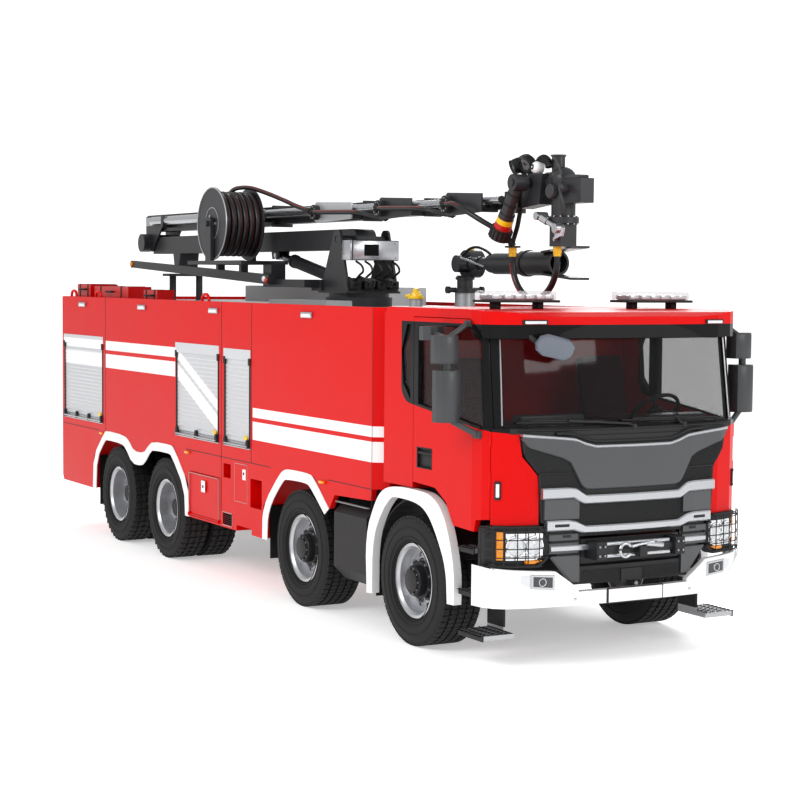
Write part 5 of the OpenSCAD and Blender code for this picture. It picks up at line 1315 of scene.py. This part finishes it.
valve.turned([(0.0, 0.0), (0.0, 0.036), (0.06, 0.036), (0.066, 0.028), (0.066, 0.0)], (3.93, -0.001, 3.72),
             (0, -1, 0), 24, closed=False)
valve.turned([(0.0, 0.0), (0.0, 0.062), (0.014, 0.066), (0.014, 0.0)], (3.72, 0.06, 3.992), (0, 0, 1), 32,
             closed=False)
valve.box((3.885, -0.006, 3.8), (4.09, 0.11, 3.828), 0.01)
valve.path(smooth_route([(3.93, -0.06, 3.72), (3.97, -0.09, 3.68), (4.0, -0.08, 3.6), (3.96, -0.05, 3.52),
                         (3.9, -0.02, 3.5)]), 0.01, 8)
valve.path(smooth_route([(3.72, 0.0, 3.96), (3.8, -0.04, 3.97), (3.87, -0.05, 3.92), (3.9, -0.03, 3.83)]),
           0.012, 8)
for maker, name, mat, slot in ((lamp_cans, "head_lamp_cans", black_plastic, "black_plastic"),
        (lamp_faces, "head_lamp_faces", dark_lens, "lamp_glass"),
        (ball, "camera_ball", white_paint, "white_paint"),
        (pupil, "camera_eye", black_plastic, "black_plastic"),
        (ribs, "ribbed_conduit", black_plastic, "black_plastic"),
        (links, "head_link", bright_bar, "rod_steel"), (head_bolts, "head_bolts", bright_bar, "rod_steel"),
        (valve, "head_valves", cast_grey, "cast_grey")):
    maker.piece(name, mat, "boom_head", slot)

# %% The hanging loop
loop_r, low_x, high_x, loop_z = 0.027, 3.163, 3.765, 3.116
half_span, middle_x = (high_x - low_x) / 2, (high_x + low_x) / 2
loop = [(low_x, -0.02, 3.2), (low_x, -0.02, 3.158)]
loop += [(middle_x - half_span * math.cos(a), -0.02 + 0.05 * k / 24, loop_z - half_span * math.sin(a))
         for k, a in [(k, math.pi * k / 24) for k in range(25)]]
loop += [(high_x, 0.03, 3.16), (high_x, 0.03, 3.2), (high_x, 0.03, 3.24)]
tube, loop_stripe, couplings = makers(3)
tube.path(loop, loop_r, 14)
loop_stripe.path([Vector(p) + Vector((0, -loop_r * 0.96, 0)) for p in loop[2:20]], 0.0035, 6)
for x, y, z in ((low_x, -0.02, 3.2), (high_x, 0.03, 3.199)):
    for low, high, r in ((-0.03, 0.0, 0.033), (0.0, 0.02, 0.04), (0.02, 0.052, 0.036)):
        couplings.bar((x, y, z + low), (x, y, z + high), r, 6 if r == 0.04 else 24)
clip = Maker()
clip.path(smooth_route([(low_x, -0.02, 3.252), (low_x + 0.005, -0.02, 3.3), (low_x + 0.06, -0.015, 3.42),
                        (3.262, -0.01, 3.555), (3.285, 0.0, 3.6)]), 0.02, 12)
clip.box((low_x - 0.05, -0.07, 3.246), (low_x + 0.05, 0.03, 3.262), 0.004)
hanging = tube.piece("hanging_hose", hose_black, "boom_head", "hose_rubber")
stripe_piece = loop_stripe.piece("hanging_hose_stripe", hose_red, "boom_head")
brass_ends = couplings.piece("hose_couplings", brass, "boom_head")
clip.piece("hose_clip", black_plastic, "boom_head")

# %% Nozzle rings
aim = Vector((math.cos(math.radians(237)), 0, math.sin(math.radians(237))))
root = Vector((3.48, -0.175, 3.78))
yellow_band, red_band, tip = makers(3)
yellow_ring = finish("yellow_ring", (0.85, 0.55, 0.02), 0.35, coat=0.2, drift=0.08)
yellow_band.turned([(0.345, 0.0675), (0.345, 0.0715), (0.392, 0.0715), (0.392, 0.0675)], root, aim, 40)
red_band.turned([(0.393, 0.0675), (0.393, 0.0735), (0.441, 0.0775), (0.441, 0.0675)], root, aim, 40)
across = aim.orthogonal().normalized()
third = aim.cross(across)
for u, v in circle(16, 1.0):
    out = u * across + v * third
    tip.bar(root + aim * 0.45 + out * 0.088, root + aim * 0.536 + out * 0.088, 0.011, 8)
tip.turned([(0.441, 0.066), (0.441, 0.0905), (0.452, 0.0925), (0.458, 0.0905), (0.458, 0.066)], root, aim, 40)
for d in (0.1, 0.2, 0.31):
    tip.turned([(d, 0.056), (d, 0.062), (d + 0.018, 0.062), (d + 0.018, 0.056)], root, aim, 36)
yellow_band.piece("nozzle_yellow_ring", yellow_ring, "boom_nozzle", "white_paint")
red_band.piece("nozzle_red_ring", hose_red, "boom_nozzle", "red_paint")
tip.piece("nozzle_tip", black_plastic, "boom_nozzle", "black_plastic")

# %% [markdown]
# ## Roof monitor, roof gear and cap
# The monitor is a water cannon that pans and tilts, so its bolts and rods ride on the body that they
# turn with. The chests beside it get straps and handles, and the walkways get a chequer of small blocks.

# %% Monitor details
pivot = Vector((1.622, 0.45, 3.12))
clamps, ring_bolts, rods, dot = makers(4)
for s in (-1, 1):
    clamps.bar(pivot + Vector((0, s * 0.1, -0.245)), pivot + Vector((0, s * 0.19, -0.245)), 0.024, 16)
    clamps.bar(pivot + Vector((0, s * 0.17, -0.245)), pivot + Vector((0, s * 0.2, -0.245)), 0.034, 16)
clamps.turned([(0.0, 0.118), (0.0, 0.126), (0.022, 0.126), (0.022, 0.118)], pivot + Vector((0, 0, -0.262)),
              (0, 0, 1), 40)
clamps.turned([(0.0, 0.07), (0.0, 0.088), (0.018, 0.092), (0.04, 0.076), (0.04, 0.07)],
              pivot + Vector((0, 0, -0.15)), (0, 0, 1), 36)
clamps.turned([(0.0, 0.0), (0.0, 0.1), (0.006, 0.104), (0.012, 0.098), (0.012, 0.0)],
              pivot + Vector((0, 0.15, 0)), (0, 1, 0), 36, closed=False)
dot.turned([(0.0, 0.0), (0.0, 0.026), (0.018, 0.022), (0.026, 0.0)], pivot + Vector((0, 0.07, 0.128)),
           (0, 0, 1), 20, closed=False)
muzzle = pivot + Vector((0, -0.06, 0))
for (u, v), (far_u, far_v) in zip(circle(12, 0.07), circle(12, 0.108)):
    at = muzzle + Vector((0.64, u, v))
    ring_bolts.bar(at + Vector((-0.088, 0, 0)), at + Vector((-0.079, 0, 0)), 0.008, 6)
    at = muzzle + Vector((1.118, far_u, far_v))
    ring_bolts.bar(at, at + Vector((-0.01, 0, 0)), 0.008, 6)
for s in (-1, 1):
    rods.bar(muzzle + Vector((0.12, s * 0.062, 0.055)), muzzle + Vector((0.53, s * 0.06, -0.03)), 0.011, 12)
arch = Maker()
arch.path(smooth_route([muzzle + Vector(v) for v in ((0.1, -0.03, 0.075), (0.22, -0.03, 0.135),
        (0.36, -0.03, 0.15), (0.5, -0.03, 0.12), (0.585, -0.03, 0.083))]), 0.013, 10)
for s in (-1, 1):
    arch.turned([(0.0, 0.056), (0.0, 0.064), (0.03, 0.064), (0.03, 0.056)],
                muzzle + Vector((0.2 + 0.16 * (s + 1) / 2, 0, 0)), (1, 0, 0), 32)
for maker, name, mat, slot, body in ((clamps, "monitor_clamps", boom_paint, "boom_paint", "monitor_base"),
        (dot, "monitor_dot", yellow_ring, "white_paint", "monitor_base"),
        (ring_bolts, "monitor_bolts", bright_bar, "rod_steel", "monitor_barrel"),
        (rods, "monitor_rods", bright_bar, "rod_steel", "monitor_barrel"),
        (arch, "monitor_lines", hose_black, "hose_rubber", "monitor_barrel")):
    maker.piece(name, mat, body, slot)
blade_paint = finish("blade_paint", (0.03, 0.031, 0.034), 0.42, coat=0.1, drift=0.15)
chain = Chain(blade_paint)
lip = chain.all_of(chain.between(chain.x, 3.27, 3.5), chain.between(chain.z, 3.0, 3.3))
chain.paint(chain.all_of(lip, chain.maths("GREATER_THAN", chain.z, 3.16)), (0.45, 0.46, 0.47), 0.3, 0.7)
repaint(blade_paint, "monitor_barrel")

# %% Roof gear
gear_paint = finish("gear_paint", (0.42, 0.43, 0.44), 0.45, metal=0.7, drift=0.12, grain_scale=90, grain=0.2)
chain = Chain(gear_paint)
near_chests = chain.all_of(chain.maths("LESS_THAN", chain.y, -0.7), chain.maths("LESS_THAN", chain.x, -2.3))
posts = chain.any_of(chain.all_of(chain.between(chain.x, -4.2, -3.9), chain.between(chain.y, -0.3, 0.3)),
                     chain.all_of(chain.between(chain.x, 0.0, 0.7), chain.between(chain.y, -0.35, 0.35)))
chain.paint(near_chests, (0.58, 0.004, 0.004), 0.3, 0.0)
chain.paint(posts, (0.03, 0.031, 0.034), 0.45, 0.0)
repaint(gear_paint, "roof_gear")
chequer, straps, handles, roof_cap = makers(4)
for turn in (0.785, -0.785):
    shift = 0.02 if turn > 0 else 0.0
    blocks(chequer, tread_metal, (-1.975 + shift, 0.87 + shift, 2.8805), 3.36, 0.44, (84, 12),
           (0.026, 0.006, 0.003), turn)
    blocks(chequer, tread_metal, (0.375 + shift, -0.56 + shift, 2.7605), 1.16, 0.22, (30, 6),
           (0.026, 0.006, 0.003), turn)
for x0, x1, top_z, y0, y1 in ((-4.78, -4.33, 2.88, -1.1, -0.76), (-4.25, -3.15, 2.86, -1.08, -0.8),
        (-2.75, -2.35, 2.83, -1.05, -0.85)):
    for share in (0.2, 0.8):
        x = x0 + (x1 - x0) * share
        straps.box((x - 0.018, y0 - 0.004, 2.702), (x + 0.018, y1 + 0.004, top_z + 0.004), 0.002)
    handles.path(smooth_route([((x0 + x1) / 2 - 0.09, y0 - 0.002, top_z - 0.06),
                               ((x0 + x1) / 2 - 0.08, y0 - 0.035, top_z - 0.06),
                               ((x0 + x1) / 2 + 0.08, y0 - 0.035, top_z - 0.06),
                               ((x0 + x1) / 2 + 0.09, y0 - 0.002, top_z - 0.06)]), 0.01, 8)
cap_x, cap_y = 2.35, -0.5
roof_cap.turned([(0.0, 0.062), (0.0, 0.075), (0.016, 0.075), (0.02, 0.05), (0.05, 0.042), (0.06, 0.03),
                 (0.088, 0.026), (0.094, 0.0)], (cap_x, cap_y, 2.8), (0, 0, 1), 28, closed=False)
for (u, v), (far_u, far_v) in zip(circle(3, 0.05), circle(3, 0.092)):
    roof_cap.bar((cap_x + u, cap_y + v, 2.825), (cap_x + far_u, cap_y + far_v, 2.82), 0.016, 12)
chequer.piece("roof_chequer", tread_metal, "chassis", "tread_metal", smooth=False)
straps.piece("chest_straps", black_plastic, "chassis")
handles.piece("chest_handles", black_plastic, "chassis")
roof_cap.piece("roof_cap", yellow_ring, "chassis", "white_paint")

# %% [markdown]
# ## Sides of the body
# Panel seams, shutter gaskets and lift bars, framed hatches with flush latches, a louvred vent and
# small red grab loops on the roof's edge. The right side is made first and mirrored.

# %% Seams, shutters and hatches
wall = -1.25
seams, gaskets, bars, tags, frames, latches, locks, loops = makers(8)
for x, low, high in ((-3.42, 1.21, 2.735), (-0.1675, 0.68, 2.735), (0.535, 1.21, 2.735), (2.94, 1.06, 2.735)):
    seams.box((x - 0.004, wall - 0.0012, low), (x + 0.004, wall + 0.0015, high))
for low, high in ((-4.88, -3.6), (-1.06, 0.96), (2.13, 2.94)):
    seams.box((low, wall - 0.0012, 1.206), (high, wall + 0.0015, 1.213))
for x0, x1, z0, z1 in ((-4.84, -3.5, 1.285, 2.285), (-1.34, -0.225, 1.33, 2.3), (-0.11, 0.515, 1.33, 2.285)):
    count = max(2, round((x1 - x0) / 0.45) + 1)
    for x in (x0 + 0.012, x1 - 0.03):
        gaskets.box((x, wall - 0.004, z0 + 0.01), (x + 0.018, wall + 0.006, z1 - 0.085), 0.002)
        gaskets.box((x - 0.014, wall - 0.012, z1 - 0.15), (x + 0.032, wall + 0.006, z1 - 0.08), 0.004)
    for k in range(count):
        x = x0 + 0.05 + (x1 - x0 - 0.1) * k / (count - 1)
        gaskets.box((x - 0.026, wall - 0.022, z0 + 0.012), (x + 0.026, wall + 0.006, z0 + 0.072), 0.006)
        gaskets.bar((x, wall - 0.02, z0 + 0.075), (x, wall + 0.004, z0 + 0.075), 0.02, 14)
    bars.bar((x0 + 0.04, wall - 0.014, z0 + 0.03), (x1 - 0.04, wall - 0.014, z0 + 0.03), 0.01, 12)
    bars.box((x0 + 0.006, wall - 0.008, z0 + 0.002), (x1 - 0.006, wall + 0.006, z0 + 0.016), 0.003)
    bars.box((x0 + 0.034, wall - 0.006, z0 + 0.048), (x1 - 0.034, wall + 0.008, z0 + 0.058), 0.002)
    tags.box((x1 - 0.15, wall - 0.006, z0 + 0.088), (x1 - 0.07, wall + 0.005, z0 + 0.126), 0.002)
x0, x1, z0, z1, latch_x, latch_z = 0.15, 0.45, 0.805, 1.18, 0.375, 1.082
strips(frames, wall - 0.002, wall + 0.0015, (((x0, z0), (x0 + 0.006, z1)), ((x1 - 0.006, z0), (x1, z1)),
        ((x0, z0), (x1, z0 + 0.006)), ((x0, z1 - 0.006), (x1, z1))))
latches.box((latch_x - 0.036, wall - 0.005, latch_z - 0.052),
            (latch_x + 0.036, wall + 0.003, latch_z + 0.052), 0.003)
locks.bar((latch_x, wall - 0.009, latch_z + 0.01), (latch_x, wall, latch_z + 0.01), 0.013, 18)
for x in (-4.55, -3.72, -0.62):
    loops.path(smooth_route([(x - 0.085, -1.225, 2.734), (x - 0.075, -1.225, 2.775), (x - 0.035, -1.225, 2.8),
                             (x + 0.035, -1.225, 2.8), (x + 0.075, -1.225, 2.775),
                             (x + 0.085, -1.225, 2.734)]), 0.016, 10)
for z in spaced(0.56, 0.655, 0.019):
    gaskets.box((-0.13, wall + 0.012, z - 0.003), (0.088, wall + 0.03, z + 0.003))
strips(frames, wall - 0.0022, wall + 0.0015, (((-0.146, 0.537), (0.104, 0.547)),
        ((-0.146, 0.664), (0.104, 0.674)), ((-0.146, 0.537), (-0.137, 0.674)),
        ((0.095, 0.537), (0.104, 0.674))))
edge_steel = finish("edge_steel", (0.45, 0.28, 0.27), 0.35, metal=0.3, drift=0.1)
for maker, name, mat, slot in ((seams, "panel_seams", black_plastic, "black_plastic"),
        (gaskets, "shutter_gaskets", black_plastic, "black_plastic"),
        (bars, "shutter_bars", bright_bar, "rod_steel"), (tags, "shutter_tags", yellow_ring, "white_paint"),
        (frames, "hatch_frames", edge_steel, "rod_steel"),
        (latches, "hatch_latches", white_paint, "white_paint"),
        (locks, "hatch_locks", black_plastic, "black_plastic"),
        (loops, "grab_loops", red_paint, "red_paint")):
    maker.mirrored()
    maker.piece(name, mat, "chassis", slot, smooth=name not in ("panel_seams", "hatch_frames"))
for hand, s in hands:
    edge, plate, lock = makers(3)
    low_box, high_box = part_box(f"flap_{hand}")
    face_y = low_box[1] if s < 0 else high_box[1]
    x0, x1, z0, z1 = low_box[0], high_box[0], low_box[2], high_box[2]
    near, far = sorted((face_y, face_y - s * 0.002))
    strips(edge, near - 0.0015, far + 0.0015, (((x0 + 0.004, z0 + 0.03), (x0 + 0.011, z1 - 0.004)),
            ((x1 - 0.011, z0 + 0.03), (x1 - 0.004, z1 - 0.004)),
            ((x0 + 0.004, z1 - 0.012), (x1 - 0.004, z1 - 0.004))))
    plate.box((-0.633, min(face_y, face_y + s * 0.003) - 0.001, 0.812),
              (-0.537, max(face_y, face_y + s * 0.003) + 0.001, 0.93), 0.003)
    for x in (-0.622, -0.548):
        for z in (0.823, 0.919):
            plate.bar((x, face_y, z), (x, face_y + s * 0.007, z), 0.006, 8)
    lock.turned([(0.0, 0.0), (0.0, 0.018), (0.004, 0.018), (0.008, 0.014), (0.008, 0.009), (0.005, 0.008),
                 (0.005, 0.0)], (-0.585, face_y - s * 0.001, 0.87), (0, s, 0), 20, closed=False)
    lock.box((-0.587, min(face_y, face_y + s * 0.006), 0.863),
             (-0.583, max(face_y, face_y + s * 0.006), 0.877))
    edge.piece(f"flap_edge_{hand}", edge_steel, f"flap_{hand}", "rod_steel", smooth=False)
    plate.piece(f"flap_latch_{hand}", white_paint, f"flap_{hand}", "white_paint")
    lock.piece(f"flap_lock_{hand}", black_plastic, f"flap_{hand}")

# %% Rear shutter, side box teeth and rear details
rear, rear_gasket, rear_tag, side_teeth = makers(4)
for z in (1.29, 1.335):
    rear.bar((-4.915, -0.66, z + 0.02), (-4.915, 0.66, z + 0.02), 0.01, 12)
for y in (-0.62, -0.21, 0.21, 0.62):
    rear_gasket.box((-4.924, y - 0.026, 1.296), (-4.893, y + 0.026, 1.366), 0.006)
for y in (-0.688, 0.67):
    rear_gasket.box((-4.905, y, 1.295), (-4.893, y + 0.018, 2.215), 0.002)
rear_tag.box((-4.906, 0.48, 1.376), (-4.895, 0.56, 1.414), 0.002)
for y in (0.488, 0.552):
    rear_tag.bar((-4.905, y, 1.395), (-4.908, y, 1.395), 0.005, 10)
for s in (-1, 1):
    blocks(side_teeth, tread_metal, (2.527, s * 1.215, 1.033), 0.56, 0.026, (26, 3), (0.012, 0.006, 0.01))
rear.piece("rear_shutter_bars", bright_bar, "chassis", "rod_steel")
rear_gasket.piece("rear_shutter_gaskets", black_plastic, "chassis")
rear_tag.piece("rear_shutter_tag", yellow_ring, "chassis", "white_paint")
side_teeth.piece("side_box_teeth", tread_metal, "chassis", "tread_metal", smooth=False)
